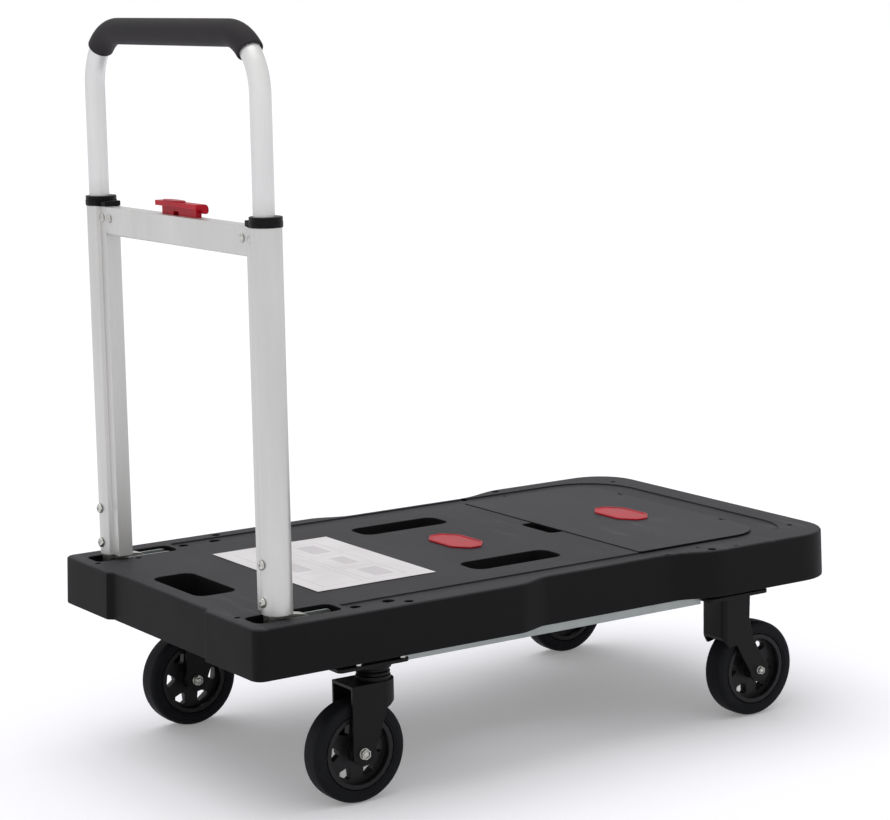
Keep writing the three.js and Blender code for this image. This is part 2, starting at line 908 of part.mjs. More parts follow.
function casterPlate(shift) {
  const [x, y] = [plateLength / 2, plateWidth / 2];
  const outline = roundedRectangle(shift - x, shift + x, -y, y, plateCorner);
  return prismZ(outline, casterHeight - plateThickness, casterHeight);
}

function swivelPlate() {
  const hole = bar("z", kingpinRadius + touchGap, 0, casterHeight + cutOverrun);
  return cut(casterPlate(swivelPlateShift), hole);
}

// Ball race pressed under the swivel plate
function swivelRace() {
  const bottom = swivelCrownTop + crownRingHeight + touchGap;
  const top = casterHeight - plateThickness - touchGap;
  const neck = THREE.MathUtils.lerp(bottom, top, raceNeckShare);
  const bore = kingpinRadius + touchGap;
  return turnedZ(
    [
      [bore, bottom],
      [raceRadius, bottom],
      [raceRadius, THREE.MathUtils.lerp(bottom, neck, raceNeckShare)],
      [raceNeckRadius, neck],
      [raceRadius, THREE.MathUtils.lerp(neck, top, raceNeckShare)],
      [raceRadius, top],
      [bore, top],
      [bore, bottom],
    ],
    tubeSides,
  );
}

function kingpin() {
  const seat = swivelCrownTop - swivelCrownWall - touchGap;
  return join(
    bar("z", kingpinRadius, seat - kingpinHeadHeight, casterHeight - touchGap),
    bar("z", kingpinHeadRadius, seat - kingpinHeadHeight, seat, [0, 0], hexagonSides),
  );
}

// Fixed fork welded to its plate
function fixedFork() {
  const top = casterHeight - plateThickness / 2;
  const rise = casterHeight - plateThickness - axleHeight;
  const rear = -forkWidth / 2;
  const place = ([x, z]) => [x * fixedOffset, axleHeight + z * rise];
  const rearPoints = fixedRearShares.map(place).reverse();
  const outline = roundedShape([
    [rear, top],
    [rear, rearPoints[0][1]],
    ...rearPoints,
    [fixedOffset - axleBossRadius, axleHeight],
    [fixedOffset + axleBossRadius, axleHeight],
    ...fixedFrontShares.map(place).reverse(),
    [fixedFrontReach, top],
  ]);
  const reach = fixedFrontReach + fixedOffset;
  const [plan, insidePlan] = [flatForkPlan(0, reach), flatForkPlan(forkWall, reach + cutOverrun)];
  const body = forkFrom(outline, plan, insidePlan, top, plateThickness / 2, fixedOffset);
  return join(body, casterPlate(0));
}

function wheelPieces(corner) {
  const group = new THREE.Group();
  group.add(piece(`tyre_${corner}`, tyre(), tyreRubber));
  group.add(piece(`hub_${corner}`, hub(), hubPlastic));
  group.add(piece(`axle_bush_${corner}`, axleBush(), zincSteel));
  group.add(piece(`axle_bolt_${corner}`, axleBolt(), zincSteel));
  return group;
}

function swivelCaster(side, name) {
  const group = new THREE.Group();
  group.add(piece(`swivel_plate_${name}`, swivelPlate(), blackSteel));
  group.add(piece(`swivel_race_${name}`, swivelRace(), blackSteel));
  group.add(piece(`kingpin_${name}`, kingpin(), zincSteel));
  group.add(piece(`swivel_fork_${name}`, swivelFork(), blackSteel));
  const wheel = wheelPieces(`rear_${name}`);
  wheel.position.set(-swivelTrail, 0, axleHeight);
  wheel.scale.y = side;
  group.add(wheel);
  group.position.set(swivelX, side * casterHalfTrack, 0);
  return group;
}

function fixedCaster(side, name) {
  const group = new THREE.Group();
  group.add(piece(`fixed_fork_${name}`, fixedFork(), blackSteel));
  const wheel = wheelPieces(`front_${name}`);
  wheel.position.set(fixedOffset, 0, axleHeight);
  wheel.scale.y = side;
  group.add(wheel);
  group.position.set(fixedX, side * casterHalfTrack, 0);
  return group;
}

// Leg section for the left leg, grown outward by a distance; x is forward of the tube axis.
// A round tube guide with a narrower box on its inner side.
function legOutline(grow) {
  const radius = legRadius + grow;
  const start = -Math.acos((legFrontFacet + grow - legRoundAhead) / radius);
  const arc = arcPoints(legRoundAhead, 0, radius, start, legArcEnd, legArcSteps);
  const last = arc[arc.length - 1];
  return new THREE.Shape([
    new THREE.Vector2(-legRearFacet - grow, -legInnerReach - grow),
    new THREE.Vector2(legFrontFacet + grow, -legInnerReach - grow),
    ...arc,
    new THREE.Vector2(-legRearFacet - grow, last.y - legStepRun),
  ]);
}

const inTube = (solid) => solid.translate([0, handleHalfSpan, 0]);

function screwPlaces() {
  return screwHeights.map((height) => [handleHalfSpan, legBottom + height]);
}

// The round part of the leg is hollow; four ribs guide the upper tube on its bore
function legHollow() {
  const [low, high] = [legBottom - cutOverrun, legTop + cutOverrun];
  const half = guideRib / 2;
  const ribs = [-guideTurn, guideTurn].map((turn) =>
    block(-legRadius, legRadius, -half, half, low, high).rotate([0, 0, turn]),
  );
  const inner = bar("z", legRadius - legWall, low, high, [legRoundAhead, 0], tubeSides);
  return join(cut(inner, ...ribs), bar("z", boreRadius, low, high, [0, 0], tubeSides));
}

function leg() {
  const outside = prismZ(legOutline(0), legBottom, legTop);
  const chamber = block(
    legWall - legRearFacet,
    legFrontFacet - legWall,
    legWall - legInnerReach,
    -chamberOuter,
    legBottom - cutOverrun,
    legTop + cutOverrun,
  );
  const window = bracketPlateBlock(touchGap);
  const pinPlace = [lockPinAhead, lockPinZ];
  const pinHole = bar("y", lockPinRadius + touchGap, -legInnerReach - cutOverrun, 0, pinPlace);
  const section = inTube(cut(outside, legHollow(), chamber, pinHole));
  const reach = legRadius + cutOverrun;
  const screwHoles = screwPlaces().map((place) => bar("x", screwRadius + touchGap, -reach, 0, place));
  const rivetHole = bar("x", rivetRadius + touchGap, -reach, -legRearFacet / 2, rivetPlaces()[1]);
  return cut(section, window, rivetHole, ...screwHoles);
}

// Plate inside the crossbar and the leg, its window, and the rivets through both rear walls
function bracketPlateBlock(grow) {
  const rear = crossbarWall + touchGap - legRearFacet + crossbarWall / 2;
  const middle = lockPinZ;
  const inner = handleHalfSpan - legInnerReach;
  return block(
    rear - grow,
    rear + bracketPlate + grow,
    inner - bracketInboard - grow,
    inner + bracketOutboard - touchGap + grow,
    middle - bracketHeight / 2 - grow,
    middle + bracketHeight / 2 + grow,
  );
}

function rivetPlaces() {
  const inner = handleHalfSpan - legInnerReach;
  const outboard = inner + rivetOutboard;
  return [outboard - rivetSpacing, outboard].map((y) => [y, lockPinZ + rivetLift]);
}

function crossbarBracket() {
  const rivets = rivetPlaces().map(([y, z]) => {
    const face = -legRearFacet - touchGap;
    const dome = turnedY(
      [
        [0, 0],
        [rivetHeadRadius, 0],
        [rivetHeadRadius * Math.SQRT1_2, rivetHeadHeight * Math.SQRT1_2],
        [0, rivetHeadHeight],
      ],
      rodSides,
    );
    const head = solidFrom(geometryOf(dome).rotateZ(quarterTurn).translate(face, y, z));
    return join(head, bar("x", rivetRadius, face - touchGap, -legRearFacet / 2, [y, z]));
  });
  return join(bracketPlateBlock(0), ...rivets);
}

function legCollar() {
  const capTop = collarBottom + collarCapHeight;
  const cap = prismZ(legOutline(collarGrow), collarBottom, capTop);
  const ringBottom = capTop - cutOverrun;
  const ring = bar("z", collarRadius, ringBottom, collarTop, [legRoundAhead, 0], tubeSides);
  const seat = prismZ(legOutline(touchGap), collarBottom - cutOverrun, legTop + touchGap);
  const [low, high] = [collarBottom - cutOverrun, collarTop + cutOverrun];
  const bore = bar("z", boreRadius, low, high, [0, 0], tubeSides);
  return inTube(cut(join(cap, ring), seat, bore));
}

// Plug inside the foot of the leg, and the tongue that reaches forward to the fold pin
function legTongue() {
  const half = tongueThickness / 2;
  const top = legBottom - touchGap;
  const rear = -tubeRadius;
  const outline = roundedShape([
    [rear, top],
    [rear, deckTop - tongueHeel, tongueHeelRounding],
    [pivotAhead, pivotZ - tongueEyeRadius],
    [pivotAhead, pivotZ + tongueEyeRadius],
    [tubeRadius, top],
  ]);
  const plugTop = legBottom + plugHeight;
  const plug = bar("z", tubeRadius, legBottom - cutOverrun, plugTop, [0, 0], tubeSides);
  const eye = bar("y", tongueEyeRadius, -half, half, [pivotAhead, pivotZ], tubeSides);
  const bore = bar("y", pivotPinRadius + touchGap, -forkWidth, forkWidth, [pivotAhead, pivotZ]);
  const tongue = cut(join(plug, prismY(outline, -half, half), eye), bore);
  const [from, to] = [-tubeRadius - cutOverrun, screwDepth + touchGap];
  const holes = screwPlaces().map((place) => bar("x", screwRadius + touchGap, from, to, place));
  return cut(inTube(tongue), ...holes);
}

// Pan head screw through the rear of the leg into its plug
function legScrew(place) {
  const rear = legRoundAhead - legRadius - touchGap;
  const rim = screwHeadHeight * screwRimShare;
  const headProfile = [
    [0, 0],
    [screwHeadRadius, 0],
    [screwHeadRadius, rim],
    [screwHeadRadius * Math.SQRT1_2, screwHeadHeight],
    [0, screwHeadHeight],
  ];
  const head = geometryOf(turnedY(headProfile, rodSides)).rotateZ(quarterTurn);
  return join(
    solidFrom(head.translate(rear, ...place)),
    bar("x", screwRadius, rear - rim, screwDepth, place),
  );
}

// U bracket on the floor of the leg slot, and the fold pin through its cheeks
function hingeBracket() {
  const inner = tongueThickness / 2 + touchGap;
  const outer = inner + bracketSheet;
  const floor = deckTop - legSlotDepth + touchGap;
  const top = deckTop - bracketTopDrop;
  const outline = roundedShape([
    [pivotAhead - bracketRearReach, floor],
    [pivotAhead + bracketFrontReach, floor],
    [pivotAhead + bracketFrontReach, top, bracketCorner],
    [pivotAhead - bracketRearReach, top, bracketCorner],
  ]);
  const channel = block(
    pivotAhead - bracketRearReach - cutOverrun,
    pivotAhead + bracketFrontReach + cutOverrun,
    -inner,
    inner,
    floor + bracketSheet,
    deckTop,
  );
  const hole = bar("y", pivotPinRadius + touchGap, -forkWidth, forkWidth, [pivotAhead, pivotZ]);
  return inTube(cut(prismY(outline, -outer, outer), channel, hole));
}

function hingePin() {
  const cheek = tongueThickness / 2 + touchGap + bracketSheet;
  const face = cheek + touchGap;
  const place = [pivotAhead, pivotZ];
  const end = face + pivotPinHeadHeight;
  const middle = face + pivotPinHeadHeight / 2;
  return inTube(
    join(
      bar("y", pivotPinRadius, -middle, middle, place),
      bar("y", pivotPinHead, face, end, place),
      bar("y", pivotPinHead, -end, -face, place),
    ),
  );
}

function crossbar() {
  const reach = handleHalfSpan - legInnerReach - touchGap;
  const [rear, front] = [-legRearFacet, legFrontFacet];
  const outline = (inset) =>
    roundedShape([
      [rear + inset, crossbarBottom + inset, crossbarCorner - inset],
      [front - inset, crossbarBottom + inset, crossbarCorner - inset],
      [front - inset, crossbarTop - inset],
      [rear + inset, crossbarTop - inset],
    ]);
  const overrun = reach + cutOverrun;
  const tube = cut(prismY(outline(0), -reach, reach), prismY(outline(crossbarWall), -overrun, overrun));
  const slot = block(
    stemRear - touchGap,
    stemFront + touchGap,
    -stemHalfLength - touchGap,
    stemHalfLength + touchGap,
    crossbarTop - crossbarWall - cutOverrun,
    crossbarTop + cutOverrun,
  );
  const rivetY = rivetPlaces()[0];
  const holes = [-1, 1].map((side) =>
    bar("x", rivetRadius + touchGap, -legRadius, -legRearFacet / 2, [side * rivetY[0], rivetY[1]]),
  );
  return cut(tube, slot, ...holes);
}

// Push plate with a rolled front lip, its stem and foot, and the wedge that draws in the lock pins
function releaseButton() {
  const top = crossbarTop + buttonRise;
  const lip = top - buttonLipHeight;
  const plateOutline = roundedShape([
    [buttonRear, top - buttonPlate],
    [buttonFront - buttonLipDepth, top - buttonPlate],
    [buttonFront - buttonLipDepth, lip, buttonLipRounding],
    [buttonFront, lip, buttonLipRounding],
    [buttonFront, top, buttonRounding],
    [buttonRear, top],
  ]);
  const plate = prismY(plateOutline, -buttonHalfLength, buttonHalfLength);
  const stemBottom = crossbarBottom + stemLift;
  const stemTop = top - buttonPlate / 2;
  const stem = block(stemRear, stemFront, -stemHalfLength, stemHalfLength, stemBottom, stemTop);
  const footBottom = crossbarBottom + footLift;
  const footTop = footBottom + footHeight;
  const foot = block(footRear, footFront, -footHalfLength, footHalfLength, footBottom, footTop);
  const wedgeLow = lockPinZ - wedgeDrop;
  const wedgeHigh = lockPinZ + wedgeDrop;
  const halfAt = (z) => wedgeHalfWidth + lockPinZ - z;
  const wedge = new THREE.Shape([
    new THREE.Vector2(-halfAt(wedgeLow), wedgeLow),
    new THREE.Vector2(halfAt(wedgeLow), wedgeLow),
    new THREE.Vector2(halfAt(wedgeHigh), wedgeHigh),
    new THREE.Vector2(-halfAt(wedgeHigh), wedgeHigh),
  ]);
  const wedgeRear = lockPinAhead - wedgeThickness / 2;
  const wedgeFront = wedgeRear + wedgeThickness;
  const neck = block(wedgeRear, wedgeFront, -wedgeNeckHalf, wedgeNeckHalf, lockPinZ, stemTop);
  return join(plate, stem, foot, prismX(wedge, wedgeRear, wedgeFront), neck);
}

// Lock pin of the left side, its inner end bevelled to the wedge
function lockPin() {
  const tip = handleHalfSpan - lockPinTip;
  const bevel = touchGap * Math.SQRT2;
  const rod = bar("y", lockPinRadius, 0, tip, [lockPinAhead, lockPinZ]);
  const near = wedgeHalfWidth + bevel;
  const clearance = new THREE.Shape([
    new THREE.Vector2(-near, lockPinZ - wedgeDrop),
    new THREE.Vector2(near + wedgeDrop, lockPinZ - wedgeDrop),
    new THREE.Vector2(near - wedgeDrop, lockPinZ + wedgeDrop),
    new THREE.Vector2(-near, lockPinZ + wedgeDrop),
  ]);
  return cut(rod, prismX(clearance, 0, legInnerReach));
}

// Curve through stations that each hold a place and a direction
class StationCurve extends THREE.Curve {
  constructor(stations) {
    super();
    this.stations = stations;
  }

  getUtoTmapping(share) {
    return share;
  }

  getPoint(t, target = new THREE.Vector3()) {
    const place = t * (this.stations.length - 1);
    const index = Math.min(Math.floor(place + weldDistance), this.stations.length - 2);
    const [from, to] = [this.stations[index], this.stations[index + 1]];
    return target.lerpVectors(from.point, to.point, Math.min(Math.max(place - index, 0), 1));
  }

  getTangent(t, target = new THREE.Vector3()) {
    return target.copy(this.stations[Math.round(t * (this.stations.length - 1))].tangent);
  }
}

// Stations of the bent tube from a start angle on one bend to the same on the other
function handleStations(startAngle, steps, legEnd) {
  const stations = [];
  const side = handleHalfSpan - bendRadius;
  if (legEnd !== undefined) {
    stations.push({
      point: new THREE.Vector3(0, -handleHalfSpan, legEnd),
      tangent: new THREE.Vector3(0, 0, 1),
    });
  }
  for (let i = 0; i <= steps; i += 1) {
    const angle = THREE.MathUtils.lerp(startAngle, quarterTurn, i / steps);
    const along = -side - bendRadius * Math.cos(angle);
    stations.push({
      point: new THREE.Vector3(0, along, bendStart + bendRadius * Math.sin(angle)),
      tangent: new THREE.Vector3(0, Math.sin(angle), Math.cos(angle)),
    });
  }
  const back = stations.map(({ point, tangent }) => ({
    point: new THREE.Vector3(0, -point.y, point.z),
    tangent: new THREE.Vector3(0, tangent.y, -tangent.z),
  }));
  return [...stations, ...back.reverse()];
}

function bentTube(stations, outerRadius, innerRadius) {
  const section = new THREE.Shape();
  section.absarc(0, 0, outerRadius, 0, 2 * Math.PI, false);
  const bore = new THREE.Path();
  bore.absarc(0, 0, innerRadius, 0, 2 * Math.PI, true);
  section.holes.push(bore);
  const path = new StationCurve(stations);
  const settings = { steps: stations.length - 1, extrudePath: path, curveSegments: bentSides / 2 };
  return solidFrom(new THREE.ExtrudeGeometry(section, settings));
}

function upperTube() {
  const tube = bentTube(handleStations(0, bendSteps, tubeBottom), tubeRadius, tubeRadius - tubeWall);
  const grooves = [-1, 1].map((side) => {
    const ends = [handleHalfSpan - tubeRadius - cutOverrun, handleHalfSpan - cutOverrun];
    const across = ends.map((end) => side * end).sort((a, b) => a - b);
    return block(
      lockPinAhead - lockPinRadius - touchGap,
      lockPinAhead + lockPinRadius + touchGap,
      ...across,
      lockPinZ - lockPinRadius - touchGap,
      lockPinZ + telescopeTravel + lockPinRadius + touchGap,
    );
  });
  return cut(tube, ...grooves);
}

function handleGrip() {
  const startAngle = (quarterTurn * gripStartStep) / bendSteps;
  return bentTube(handleStations(startAngle, bendSteps - gripStartStep), gripRadius, boreRadius);
}

function buttonSpring() {
  const low = crossbarBottom + crossbarWall + touchGap + springWire;
  const high = crossbarBottom + footLift - touchGap - springWire;
  const steps = springCoils * springStepsPerCoil;
  const stepTurn = (2 * Math.PI) / springStepsPerCoil;
  const climb = (high - low) / steps / stepTurn;
  const stations = Array.from({ length: steps + 1 }, (_, i) => {
    const [across, along] = [Math.cos(i * stepTurn), Math.sin(i * stepTurn)].map((v) => v * springRadius);
    const height = THREE.MathUtils.lerp(low, high, i / steps);
    return {
      point: new THREE.Vector3(springAhead + across, along, height),
      tangent: new THREE.Vector3(-along, across, climb).normalize(),
    };
  });
  const round = arcPoints(0, 0, springWire, 0, 2 * Math.PI, springWireSides);
  const wire = new THREE.Shape(round.slice(1));
  const path = new StationCurve(stations);
  return solidFrom(new THREE.ExtrudeGeometry(wire, { steps, extrudePath: path }));
}

function handleAssembly() {
  const group = new THREE.Group();
  const shared = [
    ["hinge_bracket", hingeBracket(), galvanised],
    ["hinge_pin", hingePin(), zincSteel],
    ["leg_tongue", legTongue(), zincSteel],
    ["leg", leg(), brushedAluminium],
    ["collar", legCollar(), blackPlastic],
    ["crossbar_bracket", crossbarBracket(), zincSteel],
    ["lock_pin", lockPin(), zincSteel],
    ["leg_screw_low", legScrew(screwPlaces()[0]), zincSteel],
    ["leg_screw_high", legScrew(screwPlaces()[1]), zincSteel],
  ];
  for (const [name, solid, material] of shared) {
    group.add(piece(`${name}_left`, solid, material));
    group.add(piece(`${name}_right`, mirrored(solid), material));
  }
  group.add(piece("crossbar", crossbar(), brushedAluminium));
  group.add(piece("release_button", releaseButton(), redPlastic));
  group.add(piece("button_spring", buttonSpring(), zincSteel));
  group.add(piece("upper_tube", upperTube(), brushedAluminium));
  group.add(piece("grip", handleGrip(), gripFoam));
  group.position.x = handleX;
  return group;
}

function deckAssembly() {
  const group = new THREE.Group();
  const seat = deckTop + touchGap;
  const rear = sheetCentreX - sheetLength / 2;
  const half = sheetWidth / 2;
  const sheet = block(rear, rear + sheetLength, -half, half, seat, seat + sheetThickness);
  group.add(piece("deck_shell", deckShell(), deckPlastic));
  group.add(piece("front_lid", frontLid(), lidPlastic));
  group.add(piece("lid_hinge_rod", lidHingeRod(), zincSteel));
  group.add(piece("rear_badge", badge(0, seat), redPlastic));
  group.add(piece("front_badge", badge(lidFront - frontBadgeSetback, lidTop + touchGap), redPlastic));
  group.add(piece("instruction_sheet", sheet, whiteSheet));
  group.add(piece("side_rail_left", sideRail(), galvanised));
  group.add(piece("side_rail_right", mirrored(sideRail()), galvanised));
  group.add(piece("cross_rail_rear", crossRail(swivelX), galvanised));
  group.add(piece("cross_rail_front", crossRail(fixedX), galvanised));
  return group;
}

const cart = new THREE.Group();
cart.add(deckAssembly(), handleAssembly());
for (const [side, name] of [
  [1, "left"],
  [-1, "right"],
]) {
  cart.add(swivelCaster(side, name), fixedCaster(side, name));
}

export default cart;
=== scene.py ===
import json
import math

import bmesh
import bpy
from mathutils import Matrix, Vector

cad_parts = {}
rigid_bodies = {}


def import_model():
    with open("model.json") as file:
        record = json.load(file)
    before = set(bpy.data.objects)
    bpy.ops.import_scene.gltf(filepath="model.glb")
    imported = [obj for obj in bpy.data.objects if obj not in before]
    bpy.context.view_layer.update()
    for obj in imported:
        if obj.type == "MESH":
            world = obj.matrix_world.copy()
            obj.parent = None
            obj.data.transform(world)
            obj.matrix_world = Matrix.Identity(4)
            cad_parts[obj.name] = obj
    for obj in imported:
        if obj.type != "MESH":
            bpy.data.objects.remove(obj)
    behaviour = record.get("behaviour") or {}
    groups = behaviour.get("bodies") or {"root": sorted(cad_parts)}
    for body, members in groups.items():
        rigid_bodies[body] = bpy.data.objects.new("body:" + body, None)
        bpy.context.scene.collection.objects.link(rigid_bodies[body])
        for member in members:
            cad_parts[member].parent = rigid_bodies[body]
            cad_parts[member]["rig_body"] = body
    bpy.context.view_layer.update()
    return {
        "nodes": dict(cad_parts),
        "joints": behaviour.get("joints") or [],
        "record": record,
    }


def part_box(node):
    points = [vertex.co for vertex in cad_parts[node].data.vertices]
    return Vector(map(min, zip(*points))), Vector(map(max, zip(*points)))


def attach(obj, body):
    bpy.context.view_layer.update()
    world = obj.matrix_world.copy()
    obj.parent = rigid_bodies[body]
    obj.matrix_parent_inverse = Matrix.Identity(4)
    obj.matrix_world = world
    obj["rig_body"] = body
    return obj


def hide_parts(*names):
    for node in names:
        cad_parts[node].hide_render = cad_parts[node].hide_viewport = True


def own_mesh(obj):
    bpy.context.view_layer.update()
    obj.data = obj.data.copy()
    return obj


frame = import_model()
nodes = frame["nodes"]
bpy.ops.object.select_all(action="DESELECT")

SIDES = {"left": 1, "right": -1}
WHEELS = ("rear_left", "rear_right", "front_left", "front_right")
QUARTER = math.pi / 2
MM = 0.001
SAME_SPOT = 0.00001

# The handle, in metres: the plane and the half span of its tubes, the two bends at its top,
# the tube's and the grip's sections, and the rivets at the crossbar's ends
HANDLE_X = -0.3875
HANDLE_HALF = 0.2047
BEND_RADIUS = 0.068
BEND_LEVEL = 0.832
TUBE_RADIUS = 0.0125
TUBE_WALL = 0.0015
GRIP_RADIUS = 0.016
GRIP_WALL = 0.0032
RIVET_LEVEL = 0.671
RIVETS_OUT = (0.1657, 0.1847)

# Holes in the deck top: forward, sideways and radius in millimetres, each on both sides
DECK_TOP = 0.2379
HOLE_DEPTH = 0.05
DECK_HOLES = (
    (-284, 211, 6.5), (-238, 210, 7.5), (-224, 233, 5.5), (166, 224, 4.5), (230, 239, 5.5),
    (228, 213, 2.4), (267, 242, 2.0), (403, 190, 3.6), (-423, 178, 3.6), (-368, 174, 3.6),
)

# Where the deck's wide faces are parted, along X and along Y
DECK_CUTS_ACROSS = (-0.3825, -0.3, -0.13, -0.0035, 0.1, 0.25, 0.37)
DECK_CUTS_ALONG = (-0.2, -0.128, 0.0, 0.128, 0.2)

slot_of = {part["node"]: part["material_slot"] for part in frame["record"]["subparts"]}
body_of = {name: node["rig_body"] for name, node in nodes.items()}


# Finishes


class Wire:
    """One socket of a finish. Sums on it add Math nodes."""

    def __init__(self, finish, socket):
        self.finish = finish
        self.socket = socket

    def sum(self, operation, *others):
        return self.finish.node("ShaderNodeMath", {"operation": operation}, *others)

    def __add__(self, other):
        return self.sum("ADD", self, other)

    def __radd__(self, other):
        return self.sum("ADD", other, self)

    def __sub__(self, other):
        return self.sum("SUBTRACT", self, other)

    def __rsub__(self, other):
        return self.sum("SUBTRACT", other, self)

    def __mul__(self, other):
        return self.sum("MULTIPLY", self, other)

    def __rmul__(self, other):
        return self.sum("MULTIPLY", other, self)

    def __truediv__(self, other):
        return self.sum("DIVIDE", self, other)

    def __lt__(self, other):
        return self.sum("LESS_THAN", self, other)

    def __abs__(self):
        return self.sum("ABSOLUTE", self)

    def clamped(self):
        held = self.sum("MULTIPLY", self, 1.0)
        held.socket.node.use_clamp = True
        return held

    def between(self, low, high):
        """0 at low and below, 1 at high and above."""
        return ((self - low) / (high - low)).clamped()


class Finish:
    """A material for one of the cart's finishes."""

    def __init__(self, name, metallic=0.0, specular=0.5, coat=0.0):
        self.material = bpy.data.materials.new(name)
        self.material.use_nodes = True
        self.tree = self.material.node_tree
        self.shader = self.tree.nodes["Principled BSDF"]
        self.set("Metallic", metallic)
        self.set("Specular IOR Level", specular)
        self.set("Coat Weight", coat)
        self.set("Coat Roughness", 0.3)
        self.place = self.node("ShaderNodeTexCoord", {}, output="Object")

    def feed(self, socket, value):
        if isinstance(value, Wire):
            self.tree.links.new(value.socket, socket)
        else:
            socket.default_value = value

    def set(self, socket, value):
        self.feed(self.shader.inputs[socket], value)

    def node(self, kind, settings, *values, output=0, **named):
        made = self.tree.nodes.new(kind)
        for key, value in settings.items():
            setattr(made, key, value)
        for place, value in enumerate(values):
            self.feed(made.inputs[place], value)
        for name, value in named.items():
            self.feed(made.inputs[name.replace("_", " ")], value)
        return Wire(self, made.outputs[output])

    def stretched(self, x, y, z):
        """The piece's own coordinates with each axis scaled by its own amount."""
        way = {"vector_type": "POINT"}
        return self.node("ShaderNodeMapping", way, Vector=self.place, Scale=(x, y, z))

    def clouds(self, scale, detail=2.0, roughness=0.5, place=None):
        return self.node(
            "ShaderNodeTexNoise", {}, Vector=place or self.place, Scale=scale,
            Detail=detail, Roughness=roughness,
        )

    def cells(self, scale):
        return self.node("ShaderNodeTexVoronoi", {}, Vector=self.place, Scale=scale)

    def axis(self, letter):
        return self.node("ShaderNodeSeparateXYZ", {}, Vector=self.place, output=letter)

    def facing_up(self):
        """1 where the surface looks at the sky."""
        normal = self.node("ShaderNodeNewGeometry", {}, output="Normal")
        return self.node("ShaderNodeSeparateXYZ", {}, Vector=normal, output="Z").clamped()

    def mix(self, share, low, high):
        """A colour between two others."""
        made = self.tree.nodes.new("ShaderNodeMix")
        made.data_type = "RGBA"
        self.feed(made.inputs[0], share)
        self.feed(made.inputs[6], low)
        self.feed(made.inputs[7], high)
        return Wire(self, made.outputs[2])

    def bump(self, height, distance, strength):
        raised = self.node(
            "ShaderNodeBump", {}, Strength=strength, Distance=distance, Height=height
        )
        self.set("Normal", raised)


def shade(red, green, blue):
    """A colour as a screen shows it, turned to the linear one that a shader takes."""
    def linear(value):
        value = value / 255
        return value / 12.92 if value < 0.04045 else ((value + 0.055) / 1.055) ** 2.4

    return (linear(red), linear(green), linear(blue), 1.0)


def moulded_plastic(name, base, painted_top_light, scuffed, roughness, grain, coarse):
    """Black moulded plastic: fine spark grain, cloudy tone, a painted highlight that makes upward
    faces paler, and scuffs where loads lie.
    """
    finish = Finish(name, specular=0.1)
    fine = finish.clouds(grain, 3.0, 0.6)
    pits = finish.clouds(coarse, 2.0, 0.5)
    tone = finish.clouds(7.0, 5.0, 0.6)
    rub = finish.clouds(1.0, 4.0, 0.55, finish.stretched(60, 9, 60)).between(0.56, 0.74)
    smear = finish.clouds(4.0, 3.0, 0.5).between(0.45, 0.7)
    up = finish.facing_up()
    wear = rub * smear * up
    # Upward faces take the paler colour: a painted highlight for the light from above
    plain = finish.mix(up, base, painted_top_light)
    mottled = finish.mix(tone.between(0.3, 0.7) * up * 0.26, plain, scuffed)
    finish.set("Base Color", finish.mix(wear * 0.75, mottled, scuffed))
    dull = roughness + (tone - 0.5) * 0.16 + (fine - 0.5) * 0.14 + wear * 0.06
    finish.set("Roughness", dull.clamped())
    finish.bump(fine * 0.65 + pits * 0.5, 0.00028, 0.75)
    return finish.material


def red_plastic():
    """Glossy crimson plastic with a faint flow pattern."""
    finish = Finish("crimson plastic", specular=0.14)
    flow = finish.clouds(30.0, 3.0, 0.5)
    fine = finish.clouds(900.0, 2.0)
    red = finish.mix(flow.between(0.3, 0.7), shade(164, 10, 30), shade(192, 18, 40))
    finish.set("Base Color", red)
    finish.set("Roughness", 0.34 + (flow - 0.5) * 0.14 + (fine - 0.5) * 0.1)
    finish.bump(fine, 0.00008, 0.5)
    return finish.material


def printed_sheet():
    """White coated sheet with soft fibre grain and pale empty panels."""
    finish = Finish("white coated sheet", coat=0.15)
    fibre = finish.clouds(700.0, 4.0, 0.65)
    tone = finish.clouds(16.0, 3.0)
    x, y = finish.axis("X"), finish.axis("Y")

    half_x, half_y, line = 0.028, 0.034, 0.0007

    def patch(centre_x, centre_y, reach_x, reach_y):
        return (abs(x - centre_x) < reach_x) * (abs(y - centre_y) < reach_y)

    def panel(centre_x, centre_y):
        outer = patch(centre_x, centre_y, half_x, half_y)
        return outer - patch(centre_x, centre_y, half_x - line, half_y - line)

    frames, fills = 0.0, 0.0
    for centre_y in (-0.078, -0.004, 0.070):
        for centre_x in (-0.176, -0.240):
            frames = panel(centre_x, centre_y) + frames
    for place in (
        (-0.172, -0.078, 0.014, 0.022), (-0.243, -0.004, 0.012, 0.024),
        (-0.172, 0.070, 0.013, 0.023), (-0.172, -0.004, 0.010, 0.020),
    ):
        fills = patch(*place) + fills
    paper = finish.mix(tone.between(0.3, 0.7), shade(219, 215, 217), shade(229, 226, 228))
    paper = finish.mix((fills * 0.4).clamped(), paper, shade(168, 160, 168))
    finish.set("Base Color", finish.mix((frames * 0.6).clamped(), paper, shade(140, 138, 144)))
    finish.set("Roughness", 0.5 + (fibre - 0.5) * 0.2)
    finish.bump(fibre * 0.4 + tone, 0.0002, 0.5)
    return finish.material


def galvanised_steel():
    """Zinc dipped sheet steel: pale grey with soft crystal patches."""
    finish = Finish("galvanised sheet steel", metallic=0.75)
    patches = finish.cells(60.0)
    fine = finish.clouds(500.0, 3.0)
    tone = finish.clouds(10.0, 4.0)
    mottle = patches * 0.25 + tone * 0.75
    grey = finish.mix(mottle.between(0.2, 0.75), shade(138, 144, 143), shade(156, 161, 159))
    finish.set("Base Color", grey)
    finish.set("Roughness", 0.4 + (tone - 0.5) * 0.2 + (fine - 0.5) * 0.12)
    finish.bump(patches * 0.6 + fine * 0.4, 0.00012, 0.4)
    return finish.material


